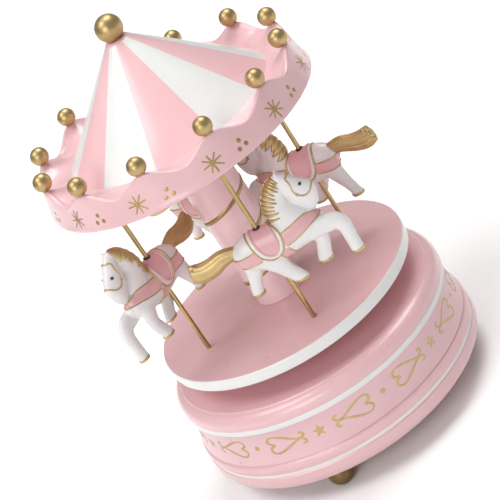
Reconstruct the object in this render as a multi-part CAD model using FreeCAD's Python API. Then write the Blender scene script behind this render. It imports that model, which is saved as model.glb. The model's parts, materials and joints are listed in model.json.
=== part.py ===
"""Wind-up carousel music box: four horses on poles turn under a striped canopy when the spring runs down.

Units are millimetres. +Z is up, and the origin is on the table, under the middle of the base.
The carousel is wound by twisting it on the base: its hub sits on the winding arbor of the movement.
"""
import math
import os

import FreeCAD, Part

V = FreeCAD.Vector
UP = V(0, 0, 1)
ORIGIN = V(0, 0, 0)

# Driving dimensions: heights above the table
BASE_BOTTOM = 8.0
BASE_TOP = 42.5
DECK_BOTTOM = 51.4
DECK_TOP = 56.0
CANOPY_BOTTOM = 125.5
CREST_TOP = 138.7
VALLEY_TOP = 134.2
ROOF_FOOT = 133.4
ROOF_TOP = 166.8

# Driving dimensions: radii
BASE_RADIUS = 55.8
DECK_RADIUS = 49.4
SKIRT_RADIUS = 52.0
BRIM_EDGE_RADIUS = 49.8
ROOF_FOOT_RADIUS = 39.0
COLUMN_RADIUS = 9.8
POLE_CIRCLE = 34.0
POLE_RADIUS = 0.85
BALL_CIRCLE = 48.0
BALL_RADIUS = 3.3
FINIAL_RADIUS = 4.9
FOOT_RADIUS = 4.8
FOOT_CIRCLE = 46.2

# Angles about the vertical axis, in degrees, and how far each horse is pushed up its pole
BALL_COUNT = 12
FIRST_BALL = 9.1
POLE_ANGLES = {"right": 16.0, "back": 104.0, "left": 195.0, "front": 277.0}
HORSE_HEADINGS = {"right": 149.0, "back": 313.0, "left": 227.0, "front": 347.0}
HORSE_LIFTS = {"right": -1.4, "back": 0.5, "left": 3.7, "front": 1.2}
FOOT_ANGLES = {"front": 247.0, "right": 7.0, "back": 127.0}

# Fits
RUNNING = 0.05
SNUG = 0.02

# Base: a turned wooden drum on ball feet, closed below by a plate
BAND_BOTTOM = 20.6
BAND_TOP = 34.0
BAND_WAIST = 27.6
BAND_THICKNESS = 0.3
BAND_RADII = (54.9, 53.5, 53.5)
REBATE_RADIUS = 44.2
CAVITY_RADIUS = 42.0
PLATE_TOP = 10.6
PLATE_GAP = 0.2
FOOT_FLAT = 0.35
FOOT_PEG_RADIUS = 1.5
FOOT_PEG_TOP = 14.0
PLATE_SCREW_CIRCLE = 40.0
PLATE_SCREW_ANGLES = (0.0, 120.0, 240.0)
PLATE_SCREW_RADIUS = 1.1
PLATE_SCREW_HEAD = 2.3
PLATE_SCREW_BITE = 9.0
POST_RADIUS = 4.0

# Movement, hung under the top of the base
BED_TOP = 37.0
BED_BOTTOM = 35.0
TRAIN_Z = 21.8
ARBOR_RADIUS = 2.0
SCREW_RADIUS = 1.2
SCREW_HEAD = 2.3
SCREW_BITE = 4.0
MOVEMENT_SCREWS = ((14.5, 15.0), (14.5, -15.0), (-23.0, 25.5))
BARREL_RADIUS = 13.0
BARREL_BOTTOM = 27.2
BARREL_WALL = 0.9
SPRING_TURNS = 6
SPRING_THICKNESS = 0.35
CROWN_TEETH = 32
CROWN_RADIUS = 8.8
CROWN_HALF_FACE = 0.9
CROWN_PINION_TEETH = 8
CROWN_MODULE = 2 * CROWN_RADIUS / CROWN_TEETH
TRAIN_MODULE = 0.4
CYLINDER_GEAR_TEETH = 40
SECOND_PINION_TEETH = 10
SECOND_WHEEL_TEETH = 36
FLY_PINION_TEETH = 8
SECOND_Y = TRAIN_MODULE * (CYLINDER_GEAR_TEETH + SECOND_PINION_TEETH) / 2
FLY_DROP = -40.0
FLY_DISTANCE = TRAIN_MODULE * (SECOND_WHEEL_TEETH + FLY_PINION_TEETH) / 2
FLY_Y = SECOND_Y + FLY_DISTANCE * math.cos(math.radians(FLY_DROP))
FLY_Z = TRAIN_Z + FLY_DISTANCE * math.sin(math.radians(FLY_DROP))
FLY_X = (-29.4, -18.0)
FLY_VANE_REACH = 4.4
FLY_HUB_RADIUS = 1.9
CYLINDER_X = (-31.4, -15.4)
CYLINDER_RADIUS = 6.5
PIN_RADIUS = 0.2
PIN_HEIGHT = 0.6
PINS_PER_TRACK = 4
INNER_BRACKET_X = (-14.8, -13.5)
OUTER_BRACKET_X = (-36.6, -35.3)
GOVERNOR_BRACKET_X = (-31.3, -30.1)
BRACKET_END_Y = 18.9
WHEEL_X = (-32.9, -32.1)
GEAR_X = (-34.5, -33.5)
SHAFT_RADIUS = 0.9
COMB_TEETH = 18
COMB_Y = (-25.0, -7.4)
COMB_ROOT_Y = -18.0
COMB_THICKNESS = 1.0
COMB_SCREWS_X = (-27.5, -19.3)
COMB_SCREW_Y = -22.0
COMB_SCREW_RADIUS = 1.0
COMB_SCREW_HEAD = 2.1

# Bearing between base and carousel
BUSH_RADIUS = 4.0
BUSH_FLANGE_RADIUS = 7.0
FLANGE_TOP = 43.3
WASHER_RADIUS = 8.5
WASHER_TOP = 44.1
HUB_RADIUS = 9.0
HUB_FLANGE_RADIUS = 18.0
HUB_FLANGE_BOTTOM = 48.4
NUT_TOP = 53.9
NUT_ACROSS = 7.0
HUB_SCREW_CIRCLE = 13.5
HUB_SCREW_ANGLES = (30.0, 150.0, 270.0)
HUB_SCREW_RADIUS = 1.0
HUB_SCREW_HEAD = 1.9

# Carousel: deck, column, poles and canopy
SPIGOT_RADIUS = 5.0
DECK_EDGE = 0.5
NUT_POCKET_RADIUS = 4.6
NUT_POCKET_TOP = 54.3
POLE_SOCKET_DEPTH = 3.2
CEILING_BOTTOM = 128.2
CEILING_TOP = 131.0
CEILING_RADIUS = 49.0
SKIRT_INNER = 49.2
ROOF_WALL = 2.2
ROOF_SPIGOT_RADIUS = 37.0
WAVE_POINTS_PER_BALL = 8
BALL_PEG_RADIUS = 0.9
BALL_SEAT = 138.4
FINIAL_PEG_RADIUS = 2.0
FINIAL_NECK_RADIUS = 4.0

# Horses: cast figures, in their own frame with the pole at x 0, y 0, forward +X, heights above the deck.
# A limb is a list of stations (x, z, half depth in the side view, half width), a set distance to one side.
SOLE_Z = 14.8
TORSO = [
    (-12.0, 31.8, 1.8, 1.5), (-10.6, 31.9, 4.4, 3.4), (-7.6, 31.5, 6.5, 4.2), (-3.0, 31.0, 7.0, 4.5),
    (3.0, 30.7, 7.0, 4.6), (9.0, 31.0, 6.5, 4.7), (15.0, 31.2, 5.9, 4.4), (19.0, 31.6, 4.2, 3.2),
    (20.9, 31.8, 1.7, 1.4),
]
NECK = [
    (12.0, 35.0, 6.4, 4.1), (10.0, 40.6, 5.2, 3.6), (10.3, 44.6, 4.2, 3.1), (12.6, 48.6, 3.4, 2.5),
    (14.6, 51.0, 1.9, 1.5),
]
HEAD = [
    (14.8, 52.0, 1.5, 1.2), (15.9, 49.6, 2.6, 2.2), (17.9, 45.9, 3.8, 2.8), (19.8, 42.1, 5.0, 2.8),
    (20.4, 38.8, 3.6, 2.5), (20.2, 36.4, 2.3, 2.0), (20.1, 35.2, 1.1, 1.0),
]
TAIL = [
    (-9.0, 34.0, 1.9, 1.4), (-12.0, 34.3, 2.6, 1.6), (-15.5, 34.4, 3.2, 1.8), (-20.0, 33.3, 3.6, 2.0),
    (-24.0, 33.1, 3.9, 2.0), (-27.4, 34.3, 3.6, 1.6),
]
LEGS = {
    "fore_reaching": (-2.2, [
        (14.6, 29.6, 4.0, 1.7), (20.4, 28.9, 3.4, 2.0), (24.4, 28.3, 3.3, 2.0), (26.2, 25.0, 2.6, 1.9),
        (26.1, 20.0, 2.3, 1.75), (26.0, SOLE_Z, 2.35, 1.9),
    ]),
    "fore_folded": (2.2, [
        (15.4, 29.0, 4.0, 1.9), (16.7, 23.2, 2.6, 1.9), (15.6, 19.4, 2.5, 1.75), (14.4, 16.4, 2.6, 1.85),
        (14.2, SOLE_Z, 2.7, 1.9),
    ]),
    "hind_reaching": (-2.3, [
        (-3.2, 29.4, 4.8, 2.0), (0.2, 24.0, 3.5, 2.0), (1.8, 20.4, 2.8, 1.8), (3.9, 16.8, 2.6, 1.8),
        (4.6, SOLE_Z, 2.7, 1.9),
    ]),
    "hind_trailing": (2.3, [
        (-7.4, 30.0, 4.4, 2.0), (-9.2, 24.0, 3.1, 1.9), (-10.9, 19.6, 2.3, 1.7), (-11.9, 16.4, 2.2, 1.75),
        (-12.1, SOLE_Z, 2.4, 1.9),
    ]),
}
SADDLE_X = (-4.6, 6.4)
SADDLE_BOTTOM = 27.4
SADDLE_PROUD = 0.45
EAR_FOOT = (15.4, 51.2)
EAR_SPREAD = 1.3
EAR_RADIUS = 1.0
EAR_HEIGHT = 2.8
SECTION_POINTS = 10


def polar(radius, degrees, z=0.0):
    """A point at a radius and an angle about the vertical axis."""
    a = math.radians(degrees)
    return V(radius * math.cos(a), radius * math.sin(a), z)


def turned(outline):
    """A solid of revolution about Z. The outline is a closed list of (radius, height); an item of two pairs
    is an arc through the first pair to the second."""
    edges = []
    start = last = V(outline[0][0], 0, outline[0][1])
    for item in outline[1:]:
        if isinstance(item[0], tuple):
            middle, end = (V(r, 0, z) for r, z in item)
            edges.append(Part.Arc(last, middle, end).toShape())
        else:
            end = V(item[0], 0, item[1])
            edges.append(Part.makeLine(last, end))
        last = end
    if last.distanceToPoint(start) > 1e-6:
        edges.append(Part.makeLine(last, start))
    return Part.Face(Part.Wire(edges)).revolve(ORIGIN, UP, 360)


def rod(radius, bottom, top, at=(0.0, 0.0)):
    """An upright round bar."""
    return Part.makeCylinder(radius, top - bottom, V(at[0], at[1], bottom), UP)


def bar_x(radius, x0, x1, y, z):
    """A round bar along X."""
    return Part.makeCylinder(radius, x1 - x0, V(x0, y, z), V(1, 0, 0))


def box(x0, x1, y0, y1, z0, z1):
    return Part.makeBox(x1 - x0, y1 - y0, z1 - z0, V(x0, y0, z0))


def slotted(screw, at, bottom, depth=0.5):
    """A screw whose head faces down, with a driver slot cut up into it."""
    x, y = at
    return screw.cut(box(x - 2.5, x + 2.5, y - 0.3, y + 0.3, bottom - 0.1, bottom + depth))


def cap_screw(at, radius, head_radius, head_height, seat, top):
    """A flat-headed screw driven upwards, its head under the seat."""
    head = rod(head_radius, seat - head_height, seat, at)
    screw = head.fuse(rod(radius, seat - 0.5, top, at)).removeSplitter()
    return slotted(screw, at, seat - head_height)


def group(solids):
    """Separate identical solids that share one node."""
    return Part.makeCompound(solids)


def save(name, shape):
    shape.exportStep(os.path.join("parts", name + ".step"))
    solids = shape.Solids
    print(f"{name}: {len(solids)} solid, {sum(s.Volume for s in solids):.1f} mm3, valid {shape.isValid()}")


def base_drum():
    low, waist, high = (r - BAND_THICKNESS for r in BAND_RADII)
    drum = turned([
        (REBATE_RADIUS, BASE_BOTTOM), (51.4, BASE_BOTTOM),
        ((54.5, 9.3), (BASE_RADIUS, 12.4)), (BASE_RADIUS, 14.6),
        (55.3, 15.0), (55.3, 16.5), (55.6, 16.9),
        ((55.75, 18.3), (55.4, 19.7)), (low, 20.1), (low, BAND_BOTTOM),
        ((waist, BAND_WAIST), (high, BAND_TOP)), (53.9, BAND_TOP), (54.3, 34.4), (54.3, 36.1), (54.0, 36.5),
        ((53.9, 39.6), (50.6, 42.2)), ((49.9, 42.4), (49.2, BASE_TOP)),
        (BUSH_RADIUS, BASE_TOP), (BUSH_RADIUS, BED_TOP), (CAVITY_RADIUS, BED_TOP),
        (CAVITY_RADIUS, PLATE_TOP), (REBATE_RADIUS, PLATE_TOP),
    ])
    for angle in FOOT_ANGLES.values():
        p = polar(FOOT_CIRCLE, angle)
        drum = drum.cut(rod(FOOT_PEG_RADIUS + SNUG, BASE_BOTTOM - 1, FOOT_PEG_TOP + 0.5, (p.x, p.y)))
    for at in MOVEMENT_SCREWS:
        drum = drum.cut(rod(SCREW_RADIUS + SNUG, BED_TOP - 1, BED_TOP + SCREW_BITE + 0.3, at))
    return drum


def ornament_band():
    """The printed strip wrapped round the waist of the drum."""
    low, waist, high = BAND_RADII
    t = BAND_THICKNESS - SNUG
    return turned([
        (low, BAND_BOTTOM + SNUG), ((waist, BAND_WAIST), (high, BAND_TOP - SNUG)),
        (high - t, BAND_TOP - SNUG), ((waist - t, BAND_WAIST), (low - t, BAND_BOTTOM + SNUG)),
    ])


def base_plate():
    plate = rod(REBATE_RADIUS - PLATE_GAP, BASE_BOTTOM, PLATE_TOP)
    for angle in PLATE_SCREW_ANGLES:
        p = polar(PLATE_SCREW_CIRCLE, angle)
        plate = plate.cut(rod(PLATE_SCREW_RADIUS + PLATE_GAP, BASE_BOTTOM - 1, PLATE_TOP + 1, (p.x, p.y)))
        wide, narrow = PLATE_SCREW_HEAD + 0.1, PLATE_SCREW_RADIUS + PLATE_GAP
        plate = plate.cut(Part.makeCone(wide, narrow, PLATE_SCREW_RADIUS, V(p.x, p.y, BASE_BOTTOM), UP))
    return plate


def plate_screw_post(angle):
    """A wooden corner block in the cavity that a plate screw bites into."""
    p = polar(PLATE_SCREW_CIRCLE, angle)
    post = rod(POST_RADIUS, PLATE_TOP, BED_TOP, (p.x, p.y))
    post = post.common(rod(CAVITY_RADIUS - SNUG, PLATE_TOP, BED_TOP))
    hole_top = PLATE_TOP + PLATE_SCREW_BITE + 0.3
    return post.cut(rod(PLATE_SCREW_RADIUS + SNUG, PLATE_TOP - 1, hole_top, (p.x, p.y)))


def plate_screw(angle):
    """A countersunk screw; the cone of its head is as high as the shank's radius."""
    p = polar(PLATE_SCREW_CIRCLE, angle)
    head_top = BASE_BOTTOM + PLATE_SCREW_RADIUS
    screw = Part.makeCone(
        PLATE_SCREW_HEAD, PLATE_SCREW_RADIUS, PLATE_SCREW_RADIUS, V(p.x, p.y, BASE_BOTTOM), UP)
    screw = screw.fuse(rod(PLATE_SCREW_RADIUS, head_top, PLATE_TOP + PLATE_SCREW_BITE, (p.x, p.y)))
    return slotted(screw.removeSplitter(), (p.x, p.y), BASE_BOTTOM)


def ball_foot(angle):
    """A turned ball with a flat to stand on, a flat seat and a peg up into the drum."""
    p = polar(FOOT_CIRCLE, angle)
    ball = Part.makeSphere(FOOT_RADIUS, V(p.x, p.y, FOOT_RADIUS - FOOT_FLAT))
    ball = ball.common(rod(FOOT_RADIUS + 1, 0.0, BASE_BOTTOM, (p.x, p.y)))
    return ball.fuse(rod(FOOT_PEG_RADIUS, BASE_BOTTOM - 0.5, FOOT_PEG_TOP, (p.x, p.y))).removeSplitter()


def gear_x(teeth, module, x0, x1, y, z, phase):
    """A spur gear about an axis along X. Phase is the angle of one tooth's middle, from +Y towards +Z."""
    pitch_radius = module * teeth / 2
    root, tip = pitch_radius - 1.1 * module, pitch_radius + 0.75 * module
    step = 360.0 / teeth
    points = []
    for k in range(teeth):
        middle = phase + k * step
        for radius, share in ((root, -0.28), (tip, -0.1), (tip, 0.1), (root, 0.28)):
            a = math.radians(middle + share * step)
            points.append(V(x0, y + radius * math.cos(a), z + radius * math.sin(a)))
    blank = Part.Face(Part.makePolygon(points + points[:1])).extrude(V(x1 - x0, 0, 0))
    return blank.cut(bar_x(SHAFT_RADIUS + SNUG, x0 - 1, x1 + 1, y, z))


def hole_x(plate, radius, y, z):
    return plate.cut(bar_x(radius, -60, 0, y, z))


def bed_plate():
    """The cast bed, with the block that carries the comb."""
    bed = box(-38, 20, -26, 29, BED_BOTTOM, BED_TOP).common(rod(CAVITY_RADIUS - 0.8, BED_BOTTOM, BED_TOP))
    comb_top = TRAIN_Z + COMB_THICKNESS / 2
    comb_block = box(*CYLINDER_X, COMB_Y[0], COMB_ROOT_Y, comb_top, BED_BOTTOM)
    bed = bed.fuse(comb_block).removeSplitter()
    bed = bed.cut(rod(ARBOR_RADIUS + 0.5, BED_BOTTOM - 1, BED_TOP + 1))
    for at in MOVEMENT_SCREWS:
        bed = bed.cut(rod(SCREW_RADIUS + SNUG, BED_BOTTOM - 1, BED_TOP + 1, at))
    for x in COMB_SCREWS_X:
        bed = bed.cut(rod(COMB_SCREW_RADIUS + SNUG, TRAIN_Z, TRAIN_Z + 5.2, (x, COMB_SCREW_Y)))
    return bed


def movement_screw(at):
    return cap_screw(at, SCREW_RADIUS, SCREW_HEAD, 1.6, BED_BOTTOM, BED_TOP + SCREW_BITE)


def spring_barrel():
    """A drawn steel cup, open upwards against the bed."""
    inner = BARREL_RADIUS - BARREL_WALL
    return turned([
        (ARBOR_RADIUS + 0.9, BARREL_BOTTOM), (BARREL_RADIUS - 0.6, BARREL_BOTTOM),
        ((BARREL_RADIUS - 0.18, BARREL_BOTTOM + 0.18), (BARREL_RADIUS, BARREL_BOTTOM + 0.6)),
        (BARREL_RADIUS, BED_BOTTOM), (inner, BED_BOTTOM),
        (inner, BARREL_BOTTOM + BARREL_WALL), (ARBOR_RADIUS + 0.9, BARREL_BOTTOM + BARREL_WALL),
    ])


def mainspring():
    """A spiral steel strip inside the barrel: an outer and an inner spiral joined by short ends."""
    first, last = ARBOR_RADIUS + 1.6, BARREL_RADIUS - BARREL_WALL - SPRING_THICKNESS - 0.15
    samples = 24 * SPRING_TURNS
    bottom, top = BARREL_BOTTOM + BARREL_WALL + 0.3, BED_BOTTOM - 0.4

    def spiral(offset):
        points = [
            polar(first + offset + (last - first) * k / samples, 360.0 * SPRING_TURNS * k / samples, bottom)
            for k in range(samples + 1)
        ]
        curve = Part.BSplineCurve()
        curve.interpolate(points)
        return curve.toShape()

    inside, outside = spiral(0.0), spiral(SPRING_THICKNESS)
    ends = [Part.makeLine(inside.Vertexes[i].Point, outside.Vertexes[i].Point) for i in (0, -1)]
    strip = Part.Face(Part.Wire(Part.__sortEdges__([inside, ends[1], outside, ends[0]])))
    return strip.extrude(V(0, 0, top - bottom))


def winding_arbor():
    """The spring's arbor, which runs up through the bush and carries the carousel."""
    return turned([
        (0, TRAIN_Z + 3.4), (ARBOR_RADIUS, TRAIN_Z + 3.4), (ARBOR_RADIUS, BARREL_BOTTOM + 1.2),
        (ARBOR_RADIUS + 0.5, BARREL_BOTTOM + 1.4), (ARBOR_RADIUS + 0.5, BED_BOTTOM - 0.6),
        (ARBOR_RADIUS, BED_BOTTOM - 0.4), (ARBOR_RADIUS, NUT_TOP + 0.2), (0, NUT_TOP + 0.2),
    ])


def crown_wheel():
    """A face gear under the barrel: a disc with upright teeth pointing down at the cylinder's pinion."""
    tooth_height = 1.9 * CROWN_MODULE
    disc_bottom = TRAIN_Z + CROWN_PINION_TEETH * CROWN_MODULE / 2 + 1.0 * CROWN_MODULE
    inner, outer = CROWN_RADIUS - CROWN_HALF_FACE, CROWN_RADIUS + CROWN_HALF_FACE
    wheel = rod(outer + 0.3, disc_bottom, disc_bottom + 0.9)
    pitch = 2 * math.pi * CROWN_RADIUS / CROWN_TEETH
    foot, tip = 0.24 * pitch, 0.12 * pitch
    teeth = []
    for k in range(CROWN_TEETH):
        section = [
            V(inner, y, z) for y, z in (
                (-foot, disc_bottom + 0.2), (foot, disc_bottom + 0.2),
                (foot, disc_bottom), (tip, disc_bottom - tooth_height),
                (-tip, disc_bottom - tooth_height), (-foot, disc_bottom),
            )
        ]
        tooth = Part.Face(Part.makePolygon(section + section[:1])).extrude(V(outer - inner, 0, 0))
        tooth.rotate(ORIGIN, UP, 180.0 + (k + 0.5) * 360.0 / CROWN_TEETH)
        teeth.append(tooth)
    wheel = wheel.multiFuse(teeth).removeSplitter()
    return wheel.cut(rod(ARBOR_RADIUS + SNUG, 0, 60))


def tune_cylinder():
    """The brass cylinder with its tune pins, set along each comb tooth's track."""
    x0, x1 = CYLINDER_X
    barrel = bar_x(CYLINDER_RADIUS, x0, x1, 0, TRAIN_Z)
    pins = []
    track = (x1 - x0 - 1.0) / COMB_TEETH
    for k in range(COMB_TEETH):
        x = x0 + 0.5 + (k + 0.5) * track
        for n in range(PINS_PER_TRACK):
            angle = math.radians(37.0 * k + 360.0 / PINS_PER_TRACK * n + 23.0 * ((k * 7 + n * 3) % 5))
            direction = V(0, math.cos(angle), math.sin(angle))
            foot = V(x, 0, TRAIN_Z) + direction * (CYLINDER_RADIUS - 0.5)
            pins.append(Part.makeCylinder(PIN_RADIUS, 0.5 + PIN_HEIGHT, foot, direction))
    barrel = barrel.multiFuse(pins)
    return barrel.cut(bar_x(SHAFT_RADIUS + SNUG, x0 - 1, x1 + 1, 0, TRAIN_Z))


def comb():
    """The tuned steel comb: a clamped root and a row of thinner teeth that end just clear of the pins."""
    x0, x1 = CYLINDER_X
    z0, z1 = TRAIN_Z - COMB_THICKNESS / 2, TRAIN_Z + COMB_THICKNESS / 2
    track = (x1 - x0 - 1.0) / COMB_TEETH
    shape = box(x0, x1, COMB_Y[0], COMB_ROOT_Y, z0, z1)
    teeth = []
    for k in range(COMB_TEETH):
        middle = x0 + 0.5 + (k + 0.5) * track
        half = 0.36 * track
        teeth.append(box(middle - half, middle + half, COMB_ROOT_Y - 0.5, COMB_Y[1], z0 + 0.3, z1))
    shape = shape.multiFuse(teeth).removeSplitter()
    for x in COMB_SCREWS_X:
        shape = shape.cut(rod(COMB_SCREW_RADIUS + SNUG, z0 - 1, z1 + 1, (x, COMB_SCREW_Y)))
    return shape


def comb_screw(x):
    seat = TRAIN_Z - COMB_THICKNESS / 2
    return cap_screw((x, COMB_SCREW_Y), COMB_SCREW_RADIUS, COMB_SCREW_HEAD, 1.5, seat, TRAIN_Z + 5.0)


def inner_bracket():
    x0, x1 = INNER_BRACKET_X
    return hole_x(box(x0, x1, -3.0, 3.0, TRAIN_Z - 3.0, BED_BOTTOM), SHAFT_RADIUS + RUNNING, 0, TRAIN_Z)


def outer_bracket():
    x0, x1 = OUTER_BRACKET_X
    plate = box(x0, x1, -3.0, BRACKET_END_Y, FLY_Z - 2.2, BED_BOTTOM)
    for y, z in ((0, TRAIN_Z), (SECOND_Y, TRAIN_Z), (FLY_Y, FLY_Z)):
        plate = hole_x(plate, SHAFT_RADIUS + RUNNING, y, z)
    return plate


def governor_bracket():
    x0, x1 = GOVERNOR_BRACKET_X
    plate = box(x0, x1, SECOND_Y - 2.1, BRACKET_END_Y, FLY_Z - 2.2, BED_BOTTOM)
    for y, z in ((SECOND_Y, TRAIN_Z), (FLY_Y, FLY_Z)):
        plate = hole_x(plate, SHAFT_RADIUS + RUNNING, y, z)
    return plate


def cylinder_arbor():
    return bar_x(SHAFT_RADIUS, OUTER_BRACKET_X[0] - 0.4, -CROWN_RADIUS + CROWN_HALF_FACE + 0.4, 0, TRAIN_Z)


def cylinder_pinion():
    half = CROWN_HALF_FACE + 0.2
    x0, x1 = -CROWN_RADIUS - half, -CROWN_RADIUS + half
    return gear_x(CROWN_PINION_TEETH, CROWN_MODULE, x0, x1, 0, TRAIN_Z, 90.0)


def cylinder_gear():
    return gear_x(CYLINDER_GEAR_TEETH, TRAIN_MODULE, *GEAR_X, 0, TRAIN_Z, 0.0)


def second_arbor():
    return bar_x(SHAFT_RADIUS, OUTER_BRACKET_X[0] - 0.4, GOVERNOR_BRACKET_X[1] + 0.4, SECOND_Y, TRAIN_Z)


def second_pinion():
    half_step = 180.0 / SECOND_PINION_TEETH
    return gear_x(SECOND_PINION_TEETH, TRAIN_MODULE, GEAR_X[0] - 0.2, GEAR_X[1] + 0.2,
                  SECOND_Y, TRAIN_Z, 180.0 + half_step)


def second_wheel():
    return gear_x(SECOND_WHEEL_TEETH, TRAIN_MODULE, *WHEEL_X, SECOND_Y, TRAIN_Z, FLY_DROP)


def fly_arbor():
    return bar_x(SHAFT_RADIUS, OUTER_BRACKET_X[0] - 0.4, FLY_X[1] + 0.6, FLY_Y, FLY_Z)


def fly_pinion():
    half_step = 180.0 / FLY_PINION_TEETH
    return gear_x(FLY_PINION_TEETH, TRAIN_MODULE, WHEEL_X[0] - 0.2, WHEEL_X[1] + 0.2,
                  FLY_Y, FLY_Z, FLY_DROP + 180.0 + half_step)


def fly_vane():
    """The two-bladed air brake on its hub."""
    x0, x1 = FLY_X
    hub = bar_x(FLY_HUB_RADIUS, x0, x1, FLY_Y, FLY_Z)
    blade = box(x0 + 1, x1 - 1, FLY_Y - FLY_VANE_REACH, FLY_Y + FLY_VANE_REACH, FLY_Z - 0.4, FLY_Z + 0.4)
    return hole_x(hub.fuse(blade).removeSplitter(), SHAFT_RADIUS + SNUG, FLY_Y, FLY_Z)


def shaft_bush():
    inner = ARBOR_RADIUS + RUNNING
    return turned([
        (inner, BED_TOP), (BUSH_RADIUS - SNUG, BED_TOP), (BUSH_RADIUS - SNUG, BASE_TOP),
        (BUSH_FLANGE_RADIUS, BASE_TOP), (BUSH_FLANGE_RADIUS, FLANGE_TOP), (inner, FLANGE_TOP),
    ])


def thrust_washer():
    disc = rod(WASHER_RADIUS, FLANGE_TOP, WASHER_TOP)
    return disc.cut(rod(ARBOR_RADIUS + 0.3, FLANGE_TOP - 1, WASHER_TOP + 1))


def drive_hub():
    """The wooden hub that joins the deck to the arbor, with a rounded corner under its flange."""
    bore = ARBOR_RADIUS + SNUG
    hub = turned([
        (bore, WASHER_TOP), (HUB_RADIUS, WASHER_TOP), (HUB_RADIUS, HUB_FLANGE_BOTTOM - 1.5),
        ((HUB_RADIUS + 0.44, HUB_FLANGE_BOTTOM - 0.44), (HUB_RADIUS + 1.5, HUB_FLANGE_BOTTOM)),
        (HUB_FLANGE_RADIUS, HUB_FLANGE_BOTTOM), (HUB_FLANGE_RADIUS, DECK_BOTTOM), (bore, DECK_BOTTOM),
    ])
    for angle in HUB_SCREW_ANGLES:
        p = polar(HUB_SCREW_CIRCLE, angle)
        hub = hub.cut(rod(HUB_SCREW_RADIUS + SNUG, HUB_FLANGE_BOTTOM - 1, DECK_BOTTOM + 1, (p.x, p.y)))
    return hub


def hub_screw(angle):
    p = polar(HUB_SCREW_CIRCLE, angle)
    top = DECK_BOTTOM + 2.5
    return cap_screw((p.x, p.y), HUB_SCREW_RADIUS, HUB_SCREW_HEAD, 1.3, HUB_FLANGE_BOTTOM, top)


def arbor_nut():
    corner = NUT_ACROSS / math.sqrt(3)
    points = [polar(corner, 60 * k, DECK_BOTTOM) for k in range(7)]
    nut = Part.Face(Part.makePolygon(points)).extrude(V(0, 0, NUT_TOP - DECK_BOTTOM))
    return nut.cut(rod(ARBOR_RADIUS + SNUG, DECK_BOTTOM - 1, NUT_TOP + 1))


def turntable():
    r = DECK_RADIUS
    deck = turned([
        (0, NUT_POCKET_TOP), (NUT_POCKET_RADIUS, NUT_POCKET_TOP), (NUT_POCKET_RADIUS, DECK_BOTTOM),
        (r - DECK_EDGE, DECK_BOTTOM),
        ((r - 0.15, DECK_BOTTOM + 0.15), (r, DECK_BOTTOM + DECK_EDGE)), (r, DECK_TOP - DECK_EDGE),
        ((r - 0.15, DECK_TOP - 0.15), (r - DECK_EDGE, DECK_TOP)), (SPIGOT_RADIUS + SNUG, DECK_TOP),
        (SPIGOT_RADIUS + SNUG, NUT_POCKET_TOP + 0.8), (0, NUT_POCKET_TOP + 0.8),
    ])
    for angle in POLE_ANGLES.values():
        p = polar(POLE_CIRCLE, angle)
        deck = deck.cut(rod(POLE_RADIUS + SNUG, DECK_TOP - POLE_SOCKET_DEPTH, DECK_TOP + 1, (p.x, p.y)))
    for angle in HUB_SCREW_ANGLES:
        p = polar(HUB_SCREW_CIRCLE, angle)
        deck = deck.cut(rod(HUB_SCREW_RADIUS + SNUG, DECK_BOTTOM - 1, DECK_BOTTOM + 2.8, (p.x, p.y)))
    return deck


def column():
    """The central pillar, with a spigot into the deck and one into the ceiling."""
    r = COLUMN_RADIUS
    return turned([
        (0, NUT_POCKET_TOP + 0.9), (SPIGOT_RADIUS, NUT_POCKET_TOP + 0.9), (SPIGOT_RADIUS, DECK_TOP),
        (r - 0.6, DECK_TOP), ((r - 0.18, DECK_TOP + 0.18), (r, DECK_TOP + 0.6)), (r, CEILING_BOTTOM),
        (SPIGOT_RADIUS, CEILING_BOTTOM), (SPIGOT_RADIUS, CEILING_TOP), (0, CEILING_TOP),
    ])


def pole(angle):
    p = polar(POLE_CIRCLE, angle)
    return rod(POLE_RADIUS, DECK_TOP - POLE_SOCKET_DEPTH + 0.1, CEILING_TOP - 0.2, (p.x, p.y))


def canopy_ceiling():
    disc = rod(CEILING_RADIUS, CEILING_BOTTOM, CEILING_TOP)
    disc = disc.cut(rod(SPIGOT_RADIUS + SNUG, CEILING_BOTTOM - 1, CEILING_TOP + 1))
    for angle in POLE_ANGLES.values():
        p = polar(POLE_CIRCLE, angle)
        disc = disc.cut(rod(POLE_RADIUS + SNUG, CEILING_BOTTOM - 1, CEILING_TOP + 1, (p.x, p.y)))
    return disc


def brim_edge():
    """The scalloped edge: a closed wave with a crest under each ball."""
    count = BALL_COUNT * WAVE_POINTS_PER_BALL
    middle, swing = (CREST_TOP + VALLEY_TOP) / 2, (CREST_TOP - VALLEY_TOP) / 2
    points = []
    for k in range(count):
        a = 360.0 * k / count
        wave = math.cos(math.radians(BALL_COUNT * (a - FIRST_BALL)))
        points.append(polar(BRIM_EDGE_RADIUS, a, middle + swing * wave))
    curve = Part.BSplineCurve()
    curve.interpolate(points, PeriodicFlag=True)
    return curve.toShape()


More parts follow.
